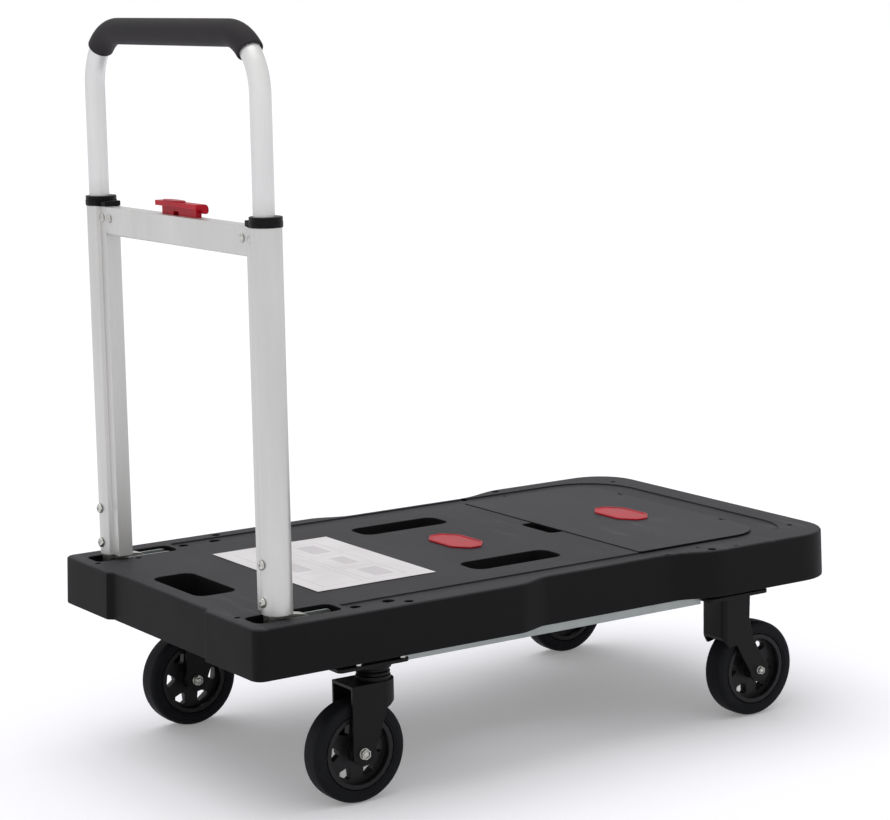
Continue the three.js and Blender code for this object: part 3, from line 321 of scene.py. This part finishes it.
def black_steel():
    """Black coated pressed steel with slight orange peel and worn spots."""
    finish = Finish("black coated steel", specular=0.14)
    peel = finish.clouds(420.0, 2.0, 0.4)
    tone = finish.clouds(24.0, 4.0, 0.6)
    rub = finish.clouds(55.0, 5.0, 0.65).between(0.66, 0.78)
    base = finish.mix(tone.between(0.3, 0.7), shade(10, 10, 11), shade(15, 15, 16))
    finish.set("Base Color", finish.mix(rub * 0.3, base, shade(58, 57, 57)))
    finish.set("Roughness", 0.36 + (tone - 0.5) * 0.24 + rub * 0.14)
    finish.bump(peel, 0.00016, 0.55)
    return finish.material


def zinc_steel(name, pale, dark, roughness):
    """Plated fastener steel: bright with a little dull staining."""
    finish = Finish(name, metallic=0.95)
    stain = finish.clouds(260.0, 4.0, 0.6)
    fine = finish.clouds(1500.0, 2.0)
    finish.set("Base Color", finish.mix(stain.between(0.35, 0.7), pale, dark))
    finish.set("Roughness", roughness + (stain - 0.5) * 0.24)
    finish.bump(fine, 0.00006, 0.4)
    return finish.material


def satin_aluminium():
    """Satin anodised tube and profile, with fine lines drawn along their length."""
    finish = Finish("satin anodised aluminium", metallic=0.62)
    drawn = finish.clouds(1.0, 3.0, 0.6, finish.stretched(1500, 1500, 7))
    tone = finish.clouds(1.0, 3.0, 0.5, finish.stretched(26, 26, 5))
    nick = finish.clouds(1.0, 5.0, 0.7, finish.stretched(260, 260, 60)).between(0.7, 0.8)
    raised = finish.axis("Z").between(0.69, 0.72)
    legs = finish.mix(tone.between(0.3, 0.7), shade(200, 200, 197), shade(212, 211, 208))
    tube = finish.mix(tone.between(0.3, 0.7), shade(218, 218, 217), shade(230, 230, 228))
    base = finish.mix(raised, legs, tube)
    base = finish.mix(drawn.between(0.3, 0.72) * 0.2, base, shade(192, 193, 194))
    finish.set("Base Color", finish.mix(nick * 0.3, base, shade(150, 150, 150)))
    finish.set("Roughness", 0.4 + (drawn - 0.5) * 0.16 + (tone - 0.5) * 0.12)
    finish.bump(drawn, 0.00005, 0.5)
    return finish.material


def tyre_rubber():
    """Blue black rubber tread with light dust and fine mould texture."""
    finish = Finish("tyre rubber", specular=0.1)
    fine = finish.clouds(800.0, 3.0, 0.6)
    tone = finish.clouds(22.0, 4.0, 0.6)
    dust = finish.clouds(70.0, 5.0, 0.7).between(0.5, 0.8)
    base = finish.mix(tone.between(0.3, 0.7), shade(16, 17, 20), shade(23, 24, 28))
    finish.set("Base Color", finish.mix(dust * 0.16, base, shade(66, 66, 68)))
    finish.set("Roughness", 0.62 + (tone - 0.5) * 0.2 + dust * 0.12)
    finish.bump(fine, 0.00025, 0.6)
    return finish.material


def hub_plastic():
    """Black nylon of the wheel centres, a little shiny."""
    finish = Finish("black nylon", specular=0.22)
    fine = finish.clouds(650.0, 2.0)
    tone = finish.clouds(40.0, 4.0)
    black = finish.mix(tone.between(0.3, 0.7), shade(17, 17, 19), shade(25, 25, 27))
    finish.set("Base Color", black)
    finish.set("Roughness", 0.42 + (tone - 0.5) * 0.22 + (fine - 0.5) * 0.1)
    finish.bump(fine, 0.00012, 0.5)
    return finish.material


def grip_foam():
    """Dense black foam sleeve with a closed cell skin."""
    finish = Finish("dense foam", specular=0.16)
    cell = finish.cells(900.0)
    fine = finish.clouds(420.0, 4.0, 0.65)
    tone = finish.clouds(18.0, 4.0)
    black = finish.mix(tone.between(0.3, 0.7), shade(38, 36, 38), shade(48, 45, 47))
    finish.set("Base Color", black)
    finish.set("Roughness", 0.66 + (tone - 0.5) * 0.18 + (fine - 0.5) * 0.12)
    finish.bump(cell * 0.5 + fine * 0.6, 0.00035, 0.6)
    return finish.material


# In each plastic the second colour is a painted highlight on upward faces, the third is real
# scuffing
finishes = {
    "deck_plastic": moulded_plastic(
        "grained deck plastic", shade(15, 15, 16), shade(45, 44, 47), shade(92, 91, 95),
        roughness=0.56, grain=1300.0, coarse=420.0,
    ),
    "lid_plastic": moulded_plastic(
        "grained lid plastic", shade(16, 16, 17), shade(49, 48, 52), shade(96, 95, 99),
        roughness=0.54, grain=1300.0, coarse=420.0,
    ),
    "collar_plastic": moulded_plastic(
        "satin black plastic", shade(17, 17, 19), shade(24, 24, 26), shade(60, 60, 61),
        roughness=0.4, grain=1600.0, coarse=700.0,
    ),
    "red_plastic": red_plastic(),
    "label_paper": printed_sheet(),
    "galvanised_steel": galvanised_steel(),
    "black_steel": black_steel(),
    "zinc_steel": zinc_steel("bright zinc plate", shade(206, 206, 202), shade(158, 157, 150), 0.3),
    "bush_steel": zinc_steel("dull bush steel", shade(150, 148, 142), shade(112, 108, 102), 0.42),
    "aluminium": satin_aluminium(),
    "tyre_rubber": tyre_rubber(),
    "hub_plastic": hub_plastic(),
    "grip_rubber": grip_foam(),
}


# Bench tools


def alone(piece):
    bpy.ops.object.select_all(action="DESELECT")
    piece.select_set(True)
    bpy.context.view_layer.objects.active = piece
    return piece


def open_piece(piece, kind="FACE"):
    """Edit mode on one piece, nothing chosen."""
    alone(piece)
    bpy.ops.object.mode_set(mode="EDIT")
    bpy.ops.mesh.select_mode(type=kind)
    bpy.ops.mesh.select_all(action="DESELECT")


def close_piece():
    bpy.ops.object.mode_set(mode="OBJECT")


def choose(piece, kind, test):
    """Chooses what passes the test, and nothing else."""
    bpy.ops.mesh.select_mode(type=kind)
    bpy.ops.mesh.select_all(action="DESELECT")
    mesh = bmesh.from_edit_mesh(piece.data)
    items = {"FACE": mesh.faces, "EDGE": mesh.edges}[kind]
    found = [item for item in items if test(item)]
    for item in found:
        item.select_set(True)
    bmesh.update_edit_mesh(piece.data)


def fit_modifier(piece, kind, **settings):
    alone(piece)
    tool = piece.modifiers.new(kind.lower(), kind)
    for key, value in settings.items():
        setattr(tool, key, value)
    bpy.ops.object.modifier_apply(modifier=tool.name)


def tidy(piece):
    """Joins double corners and turns every face outward."""
    open_piece(piece, "VERT")
    bpy.ops.mesh.select_all(action="SELECT")
    bpy.ops.mesh.remove_doubles(threshold=SAME_SPOT)
    bpy.ops.mesh.normals_make_consistent(inside=False)
    close_piece()


def round_edges(piece, width, segments=3, angle=32):
    fit_modifier(
        piece, "BEVEL", width=width, segments=segments, limit_method="ANGLE",
        angle_limit=math.radians(angle), use_clamp_overlap=False, miter_outer="MITER_ARC",
    )


def smooth(piece, angle=38):
    alone(piece)
    bpy.ops.object.shade_smooth_by_angle(angle=math.radians(angle))
    fit_modifier(piece, "WEIGHTED_NORMAL", mode="FACE_AREA", weight=60, keep_sharp=True)


def done(piece, body, slot, *stands_for):
    """Gives a finished piece its finish, its body and the nodes it stands for."""
    alone(piece)
    bpy.ops.object.transform_apply(location=True, rotation=True, scale=True)
    piece.data.materials.clear()
    piece.data.materials.append(finishes[slot])
    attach(piece, body)
    if stands_for:
        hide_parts(*stands_for)
    piece.select_set(False)
    return piece


def copy_of(piece, name):
    twin = bpy.data.objects.new(name, piece.data.copy())
    bpy.context.scene.collection.objects.link(twin)
    return twin


def moved(piece, x=0.0, y=0.0, z=0.0):
    piece.data.transform(Matrix.Translation((x, y, z)))
    return piece


def merged_copy(node):
    """The node's shape as one clean mesh."""
    piece = copy_of(nodes[node], node + "_piece")
    open_piece(piece, "VERT")
    bpy.ops.mesh.select_all(action="SELECT")
    bpy.ops.mesh.remove_doubles(threshold=SAME_SPOT)
    bpy.ops.mesh.dissolve_limited(angle_limit=math.radians(0.6))
    close_piece()
    return piece


def middle_of(node):
    low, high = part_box(node)
    return (low + high) / 2


def placed(pattern, node, slot):
    """A copy of a pattern, finished and set in the middle of the node that it stands for."""
    piece = moved(copy_of(pattern, node + "_piece"), *middle_of(node))
    done(piece, body_of[node], slot, node)


def joined(name, *pieces):
    bpy.ops.object.select_all(action="DESELECT")
    for piece in pieces:
        piece.select_set(True)
    bpy.context.view_layer.objects.active = pieces[0]
    bpy.ops.object.join()
    pieces[0].name = name
    pieces[0].select_set(False)
    return pieces[0]


def cut_with(piece, cutter):
    fit_modifier(piece, "BOOLEAN", operation="DIFFERENCE", solver="EXACT", object=cutter)
    bpy.data.objects.remove(cutter)


def rod(name, axis, centre, radius, length, sides=32):
    """A round blank along X, Y or Z, as a start for cutting and shaping."""
    turn = {"X": (0, QUARTER, 0), "Y": (QUARTER, 0, 0), "Z": (0, 0, 0)}[axis]
    bpy.ops.mesh.primitive_cylinder_add(
        vertices=sides, radius=radius, depth=length, location=centre, rotation=turn
    )
    piece = bpy.context.object
    piece.name = name
    bpy.ops.object.transform_apply(location=True, rotation=True, scale=True)
    return piece


def block(name, low, high):
    """A box blank between two corners."""
    bpy.ops.mesh.primitive_cube_add(size=1.0, location=(Vector(low) + Vector(high)) / 2)
    piece = bpy.context.object
    piece.name = name
    piece.scale = Vector(high) - Vector(low)
    bpy.ops.object.transform_apply(location=True, rotation=True, scale=True)
    return piece


def turned(name, centre, axis, steps, sides=48, ring=False):
    """A piece turned on a lathe about X, Y or Z. Each step is (way along the axis, radius)."""
    turn = {"X": (0, QUARTER, 0), "Y": (-QUARTER, 0, 0), "Z": (0, 0, 0)}[axis]
    ahead = {"X": Vector((1, 0, 0)), "Y": Vector((0, 1, 0)), "Z": Vector((0, 0, 1))}[axis]
    centre = Vector(centre)
    way, radius = steps[0]
    bpy.ops.mesh.primitive_circle_add(
        vertices=sides, radius=radius, location=centre + ahead * way, rotation=turn,
        fill_type="NOTHING" if ring else "NGON",
    )
    piece = bpy.context.object
    piece.name = name
    bpy.ops.object.transform_apply(location=True, rotation=True, scale=True)
    open_piece(piece, "EDGE" if ring else "FACE")
    bpy.ops.mesh.select_all(action="SELECT")
    last = steps[0]
    for way, radius in steps[1:]:
        move = {"value": ahead * (way - last[0])}
        if ring:
            bpy.ops.mesh.extrude_edges_move(TRANSFORM_OT_translate=move)
        else:
            bpy.ops.mesh.extrude_region_move(TRANSFORM_OT_translate=move)
        if radius != last[1]:
            grow = radius / last[1]
            size = tuple(1.0 if ahead[k] else grow for k in range(3))
            bpy.ops.transform.resize(value=size, center_override=centre + ahead * way)
        last = (way, radius)
    close_piece()
    tidy(piece)
    return piece


def corner_steps(centre_way, centre_radius, reach, start, end, count):
    """Points of a rounded corner on a turned outline, angles in degrees from the axis."""
    points = []
    for step in range(count + 1):
        angle = math.radians(start + (end - start) * step / count)
        way = centre_way + reach * math.cos(angle)
        points.append((way, centre_radius + reach * math.sin(angle)))
    return points


# Deck


def part_faces(piece, across, along):
    """Cuts wide faces at planes of constant X and Y, so that none runs round an opening."""
    open_piece(piece)
    for places, way in ((across, (1, 0, 0)), (along, (0, 1, 0))):
        for place in places:
            bpy.ops.mesh.select_all(action="SELECT")
            bpy.ops.mesh.bisect(plane_co=tuple(place * axis for axis in way), plane_no=way)
    close_piece()


def deck_body():
    """The moulded deck with its small round holes, softened edges and clean faces."""
    piece = merged_copy("deck_shell")
    part_faces(piece, DECK_CUTS_ACROSS, DECK_CUTS_ALONG)
    holes = []
    for x, y, radius in DECK_HOLES:
        for side in SIDES.values():
            place = (x * MM, side * y * MM, DECK_TOP)
            holes.append(rod("hole", "Z", place, radius * MM, HOLE_DEPTH, 20))
    cut_with(piece, joined("holes", *holes))
    round_edges(piece, 0.0009, 2)
    smooth(piece)
    done(piece, "chassis", "deck_plastic", "deck_shell")


def both_sides(*stems):
    return [f"{stem}_{side}" for stem in stems for side in SIDES]


def plain_nodes(names, width, segments=2):
    """Nodes whose own shape is right: each gets clean faces and broken edges."""
    for name in names:
        piece = merged_copy(name)
        round_edges(piece, width, segments)
        smooth(piece)
        done(piece, body_of[name], slot_of[name], name)


def badges():
    """Raised eight sided plates with a double border and a bare middle."""
    corner_x, corner_y, corner_way = 0.025, 0.0255, (0.79, 0.61)
    rounding, upright = 0.0045, 0.0005
    borders = (
        (0.0015, 0.0), (0.0002, -0.0006), (0.0010, 0.0),
        (0.0002, 0.0006), (0.0007, 0.0), (0.0002, -0.0005),
    )
    for node in ("rear_badge", "front_badge"):
        centre = middle_of(node)
        piece = block(node + "_piece", *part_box(node))
        open_piece(piece)
        for across in (1, -1):
            for along in (1, -1):
                bpy.ops.mesh.select_all(action="SELECT")
                bpy.ops.mesh.bisect(
                    plane_co=(centre.x + across * corner_x, centre.y + along * corner_y, centre.z),
                    plane_no=(across * corner_way[0], along * corner_way[1], 0),
                    use_fill=True, clear_outer=True,
                )
        choose(piece, "EDGE", lambda edge: abs(edge.verts[0].co.z - edge.verts[1].co.z) > upright)
        bpy.ops.mesh.bevel(offset=rounding, segments=4, affect="EDGES")
        close_piece()
        tidy(piece)
        open_piece(piece)
        choose(piece, "FACE", lambda face: face.normal.z > 0.999)
        for inset, depth in borders:
            bpy.ops.mesh.inset(thickness=inset, depth=depth, use_even_offset=True)
        close_piece()
        smooth(piece)
        done(piece, body_of[node], "red_plastic", node)


def instruction_sheet():
    """A white sheet stuck on the deck, with slight ripples."""
    low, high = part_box("instruction_sheet")
    centre = middle_of("instruction_sheet")
    lift, ripple_height, ripple_size, paper = 0.0001, 0.0007, 0.07, 0.00018
    bpy.ops.mesh.primitive_grid_add(
        x_subdivisions=40, y_subdivisions=60, size=1.0,
        location=(centre.x, centre.y, low.z + lift),
    )
    piece = bpy.context.object
    piece.name = "instruction_sheet_piece"
    piece.scale = (high.x - low.x, high.y - low.y, 1)
    bpy.ops.object.transform_apply(location=True, rotation=True, scale=True)
    ripple = bpy.data.textures.new("sheet ripple", "CLOUDS")
    ripple.noise_scale = ripple_size
    fit_modifier(
        piece, "DISPLACE", texture=ripple, strength=ripple_height, mid_level=0.25,
        texture_coords="LOCAL",
    )
    fit_modifier(piece, "SOLIDIFY", thickness=paper, offset=1.0)
    smooth(piece)
    done(piece, "chassis", "label_paper", "instruction_sheet")


# Wheels


def tyres():
    """Solid tyres: flat tread with well rounded shoulders and a bead by the rim."""
    tread, shoulder_way, shoulder_radius, shoulder = 0.0625, 0.0086, 0.0548, 0.0074
    bead = [(0.0158, 0.0498), (0.0150, 0.0492), (0.0150, 0.0470), (0.0140, 0.0463)]
    outline = [(-way, radius) for way, radius in reversed(bead)]
    outline += corner_steps(-shoulder_way, shoulder_radius, shoulder, 180, 90, 9)
    outline += [(-0.0035, tread - 0.0001), (0.0, tread), (0.0035, tread - 0.0001)]
    outline += corner_steps(shoulder_way, shoulder_radius, shoulder, 90, 0, 9)
    outline += bead + outline[:1]
    pattern = turned("tyre_pattern", (0, 0, 0), "Y", outline, 96, ring=True)
    smooth(pattern, 40)
    for wheel in WHEELS:
        placed(pattern, "tyre_" + wheel, "tyre_rubber")
    bpy.data.objects.remove(pattern)


def axle_bolt(reach):
    """An axle bolt with a washer and a hollowed hex nut at each end, its own end domed."""
    half, shank, inner = 0.0293, 0.004, 0.0042
    washer_height, nut_height, dome_foot, dome_height = 0.0012, 0.0038, 0.0042, 0.0014
    washer = [(0.0, inner), (0.0, reach), (0.0009, reach)]
    washer += [(washer_height, reach - 0.0004), (washer_height, inner)]
    start = half - 0.0062
    tip = 0.5 * reach
    parts = [rod("shank", "Y", (0, 0, 0), shank, 2 * half - 0.006, 24)]
    for side in (1, -1):
        steps = [(side * (start + way), radius) for way, radius in washer]
        parts.append(turned("washer", (0, 0, 0), "Y", steps, 40))
        nut_place = (0, side * (start + washer_height + nut_height / 2), 0)
        nut = rod("nut", "Y", nut_place, reach - 0.0002, nut_height, 6)
        open_piece(nut)
        choose(nut, "FACE", lambda face: face.normal.y * side > 0.99)
        bpy.ops.mesh.inset(thickness=0.0011, depth=0.0)
        bpy.ops.mesh.inset(thickness=0.0003, depth=-0.0022)
        close_piece()
        round_edges(nut, 0.0003, 2)
        parts.append(nut)
        dome = [(side * (start + 0.002), tip), (side * (start + dome_foot), tip)]
        for step in range(1, 6):
            angle = step * math.pi / 12
            way = start + dome_foot + dome_height * math.sin(angle)
            dome.append((side * way, tip * math.cos(angle)))
        parts.append(turned("dome", (0, 0, 0), "Y", dome, 32))
    pattern = joined("axle_pattern", *parts)
    smooth(pattern, 35)
    return pattern


def axle_bolts():
    """The rear bolts are thicker than the front ones."""
    for end, reach in (("rear", 0.0068), ("front", 0.0052)):
        pattern = axle_bolt(reach)
        for side in SIDES:
            placed(pattern, f"axle_bolt_{end}_{side}", "zinc_steel")
        bpy.data.objects.remove(pattern)


# Casters


def races():
    """Rolled bearing rings between each swivel plate and its fork."""
    height_shares_and_insets = (
        (0.22, 0.0016), (0.30, 0.003), (0.34, 0.0034), (0.46, 0.003), (0.5, 0.0008),
        (0.56, 0.0), (0.74, 0.0), (0.82, 0.0012), (0.92, 0.0016), (1.0, 0.002),
    )
    for side in SIDES:
        node = f"swivel_race_{side}"
        low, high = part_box(node)
        centre = middle_of(node)
        height = high.z - low.z
        outer = (high.x - low.x) / 2
        steps = [(0.0, outer - 0.006), (0.0, outer - 0.0035), (0.0008, outer - 0.0022)]
        steps += [(share * height, outer - inset) for share, inset in height_shares_and_insets]
        piece = turned(node + "_piece", (centre.x, centre.y, low.z), "Z", steps, 64)
        smooth(piece, 35)
        done(piece, body_of[node], slot_of[node], node)


def plate_bolts():
    """Zinc nuts on the caster plates."""
    level, radius, height, apart = 0.1746, 0.0048, 0.0042, 0.0305
    plates = (("rear", "swivel_plate", -0.2665, 0.235), ("front", "fixed_fork", 0.275, 0.1765))
    pattern = rod("bolt_pattern", "Z", (0, 0, level), radius, height, 6)
    round_edges(pattern, 0.0005, 2)
    smooth(pattern, 35)
    for side, sign in SIDES.items():
        for end, plate, middle_x, out in plates:
            for number, x in enumerate((-apart, apart)):
                piece = copy_of(pattern, f"plate_bolt_{end}_{side}_{number + 1}")
                moved(piece, middle_x + x, sign * out)
                done(piece, body_of[f"{plate}_{side}"], "zinc_steel")
    bpy.data.objects.remove(pattern)


# Handle


def bent_tube(name, radius, start_turn, sides, steps, foot=None):
    """A tube bent over two corners. start_turn is how far round the first bend it begins."""
    x, bend, level = HANDLE_X, BEND_RADIUS, BEND_LEVEL
    side = HANDLE_HALF - bend
    start = Vector((x, side + bend * math.cos(start_turn), level + bend * math.sin(start_turn)))
    if foot is not None:
        start.z = foot
    bpy.ops.mesh.primitive_circle_add(
        vertices=sides, radius=radius, fill_type="NOTHING", location=start,
        rotation=(start_turn, 0, 0),
    )
    piece = bpy.context.object
    piece.name = name
    bpy.ops.object.transform_apply(location=True, rotation=True, scale=True)
    open_piece(piece, "EDGE")
    bpy.ops.mesh.select_all(action="SELECT")
    if foot is not None:
        bpy.ops.mesh.extrude_edges_move(TRANSFORM_OT_translate={"value": (0, 0, level - foot)})
    bend_angle = QUARTER - start_turn
    bpy.ops.mesh.spin(steps=steps, angle=-bend_angle, center=(x, side, level), axis=(1, 0, 0))
    bpy.ops.mesh.extrude_edges_move(TRANSFORM_OT_translate={"value": (0, -2 * side, 0)})
    bpy.ops.mesh.spin(steps=steps, angle=-bend_angle, center=(x, -side, level), axis=(1, 0, 0))
    if foot is not None:
        bpy.ops.mesh.extrude_edges_move(TRANSFORM_OT_translate={"value": (0, 0, foot - level)})
    close_piece()
    tidy(piece)
    return piece


def upper_handle():
    """The bent aluminium tube that slides in the legs, and its foam grip."""
    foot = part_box("upper_tube")[0].z
    tube = bent_tube("upper_tube_piece", TUBE_RADIUS, 0.0, 48, 18, foot)
    fit_modifier(tube, "SOLIDIFY", thickness=TUBE_WALL, offset=-1.0)
    smooth(tube, 40)
    done(tube, body_of["upper_tube"], "aluminium", "upper_tube")
    grip = bent_tube("grip_piece", GRIP_RADIUS, math.pi / 4, 56, 12)
    fit_modifier(grip, "SOLIDIFY", thickness=GRIP_WALL, offset=-1.0)
    round_edges(grip, 0.0012, 3, 60)
    smooth(grip, 50)
    done(grip, body_of["grip"], "grip_rubber", "grip")


def button():
    """The push button: a slot through its stem and a raised oval on its plate."""
    low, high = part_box("release_button")
    piece = merged_copy("release_button")
    slot_low, slot_high = (low.x - 0.01, 0.001, 0.68), (low.x + 0.0125, 0.0135, 0.6895)
    oval_half_width, oval_height, oval_stretch, oval_side = 0.0068, 0.0032, 3.7, 0.014
    cut_with(piece, block("slot", slot_low, slot_high))
    oval = rod("oval", "Z", (0, 0, 0), oval_half_width, oval_height, 40)
    oval.data.transform(Matrix.Diagonal((1.0, oval_stretch, 1.0, 1.0)))
    moved(oval, low.x + 0.0085, oval_side, high.z)
    piece = joined("release_button_piece", piece, oval)
    round_edges(piece, 0.0005)
    smooth(piece)
    done(piece, body_of["release_button"], "red_plastic", "release_button")


def button_spring():
    """The spring under the button, a smoothed copy of its node with a mesh of its own."""
    low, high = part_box("button_spring")
    press = next(joint for joint in frame["joints"] if joint["name"] == "button_press")
    travel = press["range_m"][1]
    piece = merged_copy("button_spring")
    smooth(piece)
    done(piece, body_of["button_spring"], slot_of["button_spring"], "button_spring")
    1 - travel / (high.z - low.z)
    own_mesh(piece)


def rivets():
    """Domed rivet heads where the crossbar and each leg are riveted together."""
    dome = [(0.0002, 0.0044), (0.0, 0.0050), (-0.0005, 0.0052)]
    dome += [(-0.0012, 0.0047), (-0.0019, 0.0033), (-0.0022, 0.0015)]
    seat = 0.002
    pattern = turned("rivet_pattern", (0, 0, 0), "X", dome, 40)
    smooth(pattern, 50)
    for side, sign in SIDES.items():
        node = f"crossbar_bracket_{side}"
        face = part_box(node)[0].x + seat
        for number, out in enumerate(RIVETS_OUT):
            piece = copy_of(pattern, f"rivet_{side}_{number + 1}")
            moved(piece, face, sign * out, RIVET_LEVEL)
            done(piece, body_of[node], "zinc_steel")
    bpy.data.objects.remove(pattern)


def leg_screws():
    """Pan head screws with a cross recess."""
    head = [(0.0, 0.006), (-0.0010, 0.006), (-0.0018, 0.0056), (-0.0026, 0.0046), (-0.0030, 0.0032)]
    pattern = turned("screw_pattern", (0, 0, 0), "X", head, 36)
    outside, floor, reach, half = -0.004, -0.0012, 0.0028, 0.0005
    seat = 0.0031
    cut_with(pattern, block("across", (outside, -reach, -half), (floor, reach, half)))
    cut_with(pattern, block("upright", (outside, -half, -reach), (floor, half, reach)))
    smooth(pattern, 30)
    for level in ("low", "high"):
        for side in SIDES:
            node = f"leg_screw_{level}_{side}"
            centre = middle_of(node)
            piece = copy_of(pattern, node + "_piece")
            moved(piece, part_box(node)[0].x + seat, centre.y, centre.z)
            done(piece, body_of[node], "zinc_steel", node)
    bpy.data.objects.remove(pattern)


deck_body()
plain_nodes(["front_lid"], width=0.0006, segments=3)
badges()
instruction_sheet()
plain_nodes(both_sides("side_rail") + ["cross_rail_rear", "cross_rail_front"], width=0.0005)
plain_nodes(both_sides("hinge_bracket", "leg_tongue", "hinge_pin", "leg"), width=0.0004)
plain_nodes(["crossbar"], width=0.0004)
plain_nodes(both_sides("crossbar_bracket"), width=0.0003)
plain_nodes(both_sides("collar"), width=0.0005)
button()
button_spring()
rivets()
plain_nodes(both_sides("swivel_plate", "fixed_fork", "swivel_fork"), width=0.0005)
plain_nodes(both_sides("kingpin", "lock_pin"), width=0.0004)
plain_nodes(["hub_" + wheel for wheel in WHEELS], width=0.0006)
plain_nodes(["axle_bush_" + wheel for wheel in WHEELS], width=0.0003)
leg_screws()
tyres()
axle_bolts()
races()
plate_bolts()
upper_handle()

for name, node in nodes.items():
    if not node.hide_render:
        node.data.materials.clear()
        node.data.materials.append(finishes[slot_of[name]])


# Stage, light and camera


def stage_floor():
    """A wide pale floor that runs out to white and keeps the cart's shadow."""
    bpy.ops.mesh.primitive_plane_add(size=60.0, location=(0, 0, -0.0002))
    floor = bpy.context.object
    floor.name = "floor"
    finish = Finish("pale studio floor")
    tree = finish.tree
    direct = finish.node("ShaderNodeLightPath", {}, output="Is Camera Ray")
    glossy = finish.node("ShaderNodeLightPath", {}, output="Is Glossy Ray")
    seen = (direct + glossy).clamped()
    plain = tree.nodes.new("ShaderNodeBsdfDiffuse")
    plain.inputs["Color"].default_value = shade(243, 242, 248)
    lift = tree.nodes.new("ShaderNodeEmission")
    lift.inputs["Color"].default_value = (0.19, 0.188, 0.185, 1.0)
    finish.feed(lift.inputs["Strength"], seen)
    both = tree.nodes.new("ShaderNodeAddShader")
    tree.links.new(plain.outputs[0], both.inputs[0])
    tree.links.new(lift.outputs[0], both.inputs[1])
    output = tree.nodes["Material Output"]
    tree.links.new(both.outputs[0], output.inputs["Surface"])
    tree.nodes.remove(finish.shader)
    floor.data.materials.append(finish.material)


def studio_light():
    """Even white surroundings, and a broad soft light from above."""
    world = bpy.data.worlds.new("white studio")
    bpy.context.scene.world = world
    world.use_nodes = True
    tree = world.node_tree
    back = tree.nodes["Background"]
    back.inputs["Color"].default_value = (1.0, 1.0, 1.0, 1.0)
    path = tree.nodes.new("ShaderNodeLightPath")
    way = tree.nodes.new("ShaderNodeTexCoord")
    toward = tree.nodes.new("ShaderNodeVectorMath")
    toward.operation = "DOT_PRODUCT"
    toward.inputs[1].default_value = (-0.62, -0.72, 0.31)
    tree.links.new(way.outputs["Generated"], toward.inputs[0])
    mirrored = tree.nodes.new("ShaderNodeMapRange")
    mirrored.inputs["From Min"].default_value = -1.0
    mirrored.inputs["To Min"].default_value = 0.7
    mirrored.inputs["To Max"].default_value = 1.1
    tree.links.new(toward.outputs["Value"], mirrored.inputs["Value"])
    level = 0.62
    for ray, strength in (("Is Glossy Ray", mirrored.outputs[0]), ("Is Camera Ray", 1.0)):
        choice = tree.nodes.new("ShaderNodeMix")
        tree.links.new(path.outputs[ray], choice.inputs[0])
        for socket, value in ((choice.inputs[2], level), (choice.inputs[3], strength)):
            if isinstance(value, float):
                socket.default_value = value
            else:
                tree.links.new(value, socket)
        level = choice.outputs[0]
    tree.links.new(level, back.inputs["Strength"])
    lamp = bpy.data.lights.new("broad top light", "SUN")
    lamp.energy = 1.15
    lamp.angle = math.radians(65)
    top = bpy.data.objects.new("broad top light", lamp)
    bpy.context.scene.collection.objects.link(top)
    top.rotation_euler = (math.radians(-13), math.radians(-4), 0)


def photo_camera():
    """The photograph's own view of the cart."""
    eye = (-1.8203, -2.7038, 0.9539)
    pitch, yaw, roll = -0.1658, 0.9798, -0.0181
    level = math.cos(pitch)
    ahead = Vector((level * math.cos(yaw), level * math.sin(yaw), math.sin(pitch)))
    right = Vector((math.sin(yaw), -math.cos(yaw), 0))
    above = right.cross(ahead)
    across = math.cos(roll) * right + math.sin(roll) * above
    upward = math.cos(roll) * above - math.sin(roll) * right
    turn = Matrix((across, upward, -ahead)).transposed().to_4x4()
    lens = bpy.data.cameras.new("photo camera")
    lens.lens = 104.32
    lens.sensor_width = 36.0
    lens.shift_x = -0.0048
    lens.shift_y = 0.0018
    lens.clip_end = 200.0
    camera = bpy.data.objects.new("photo camera", lens)
    bpy.context.scene.collection.objects.link(camera)
    camera.matrix_world = Matrix.Translation(eye) @ turn
    bpy.context.scene.camera = camera


stage_floor()
studio_light()
photo_camera()
bpy.context.scene.view_settings.view_transform = "Standard"
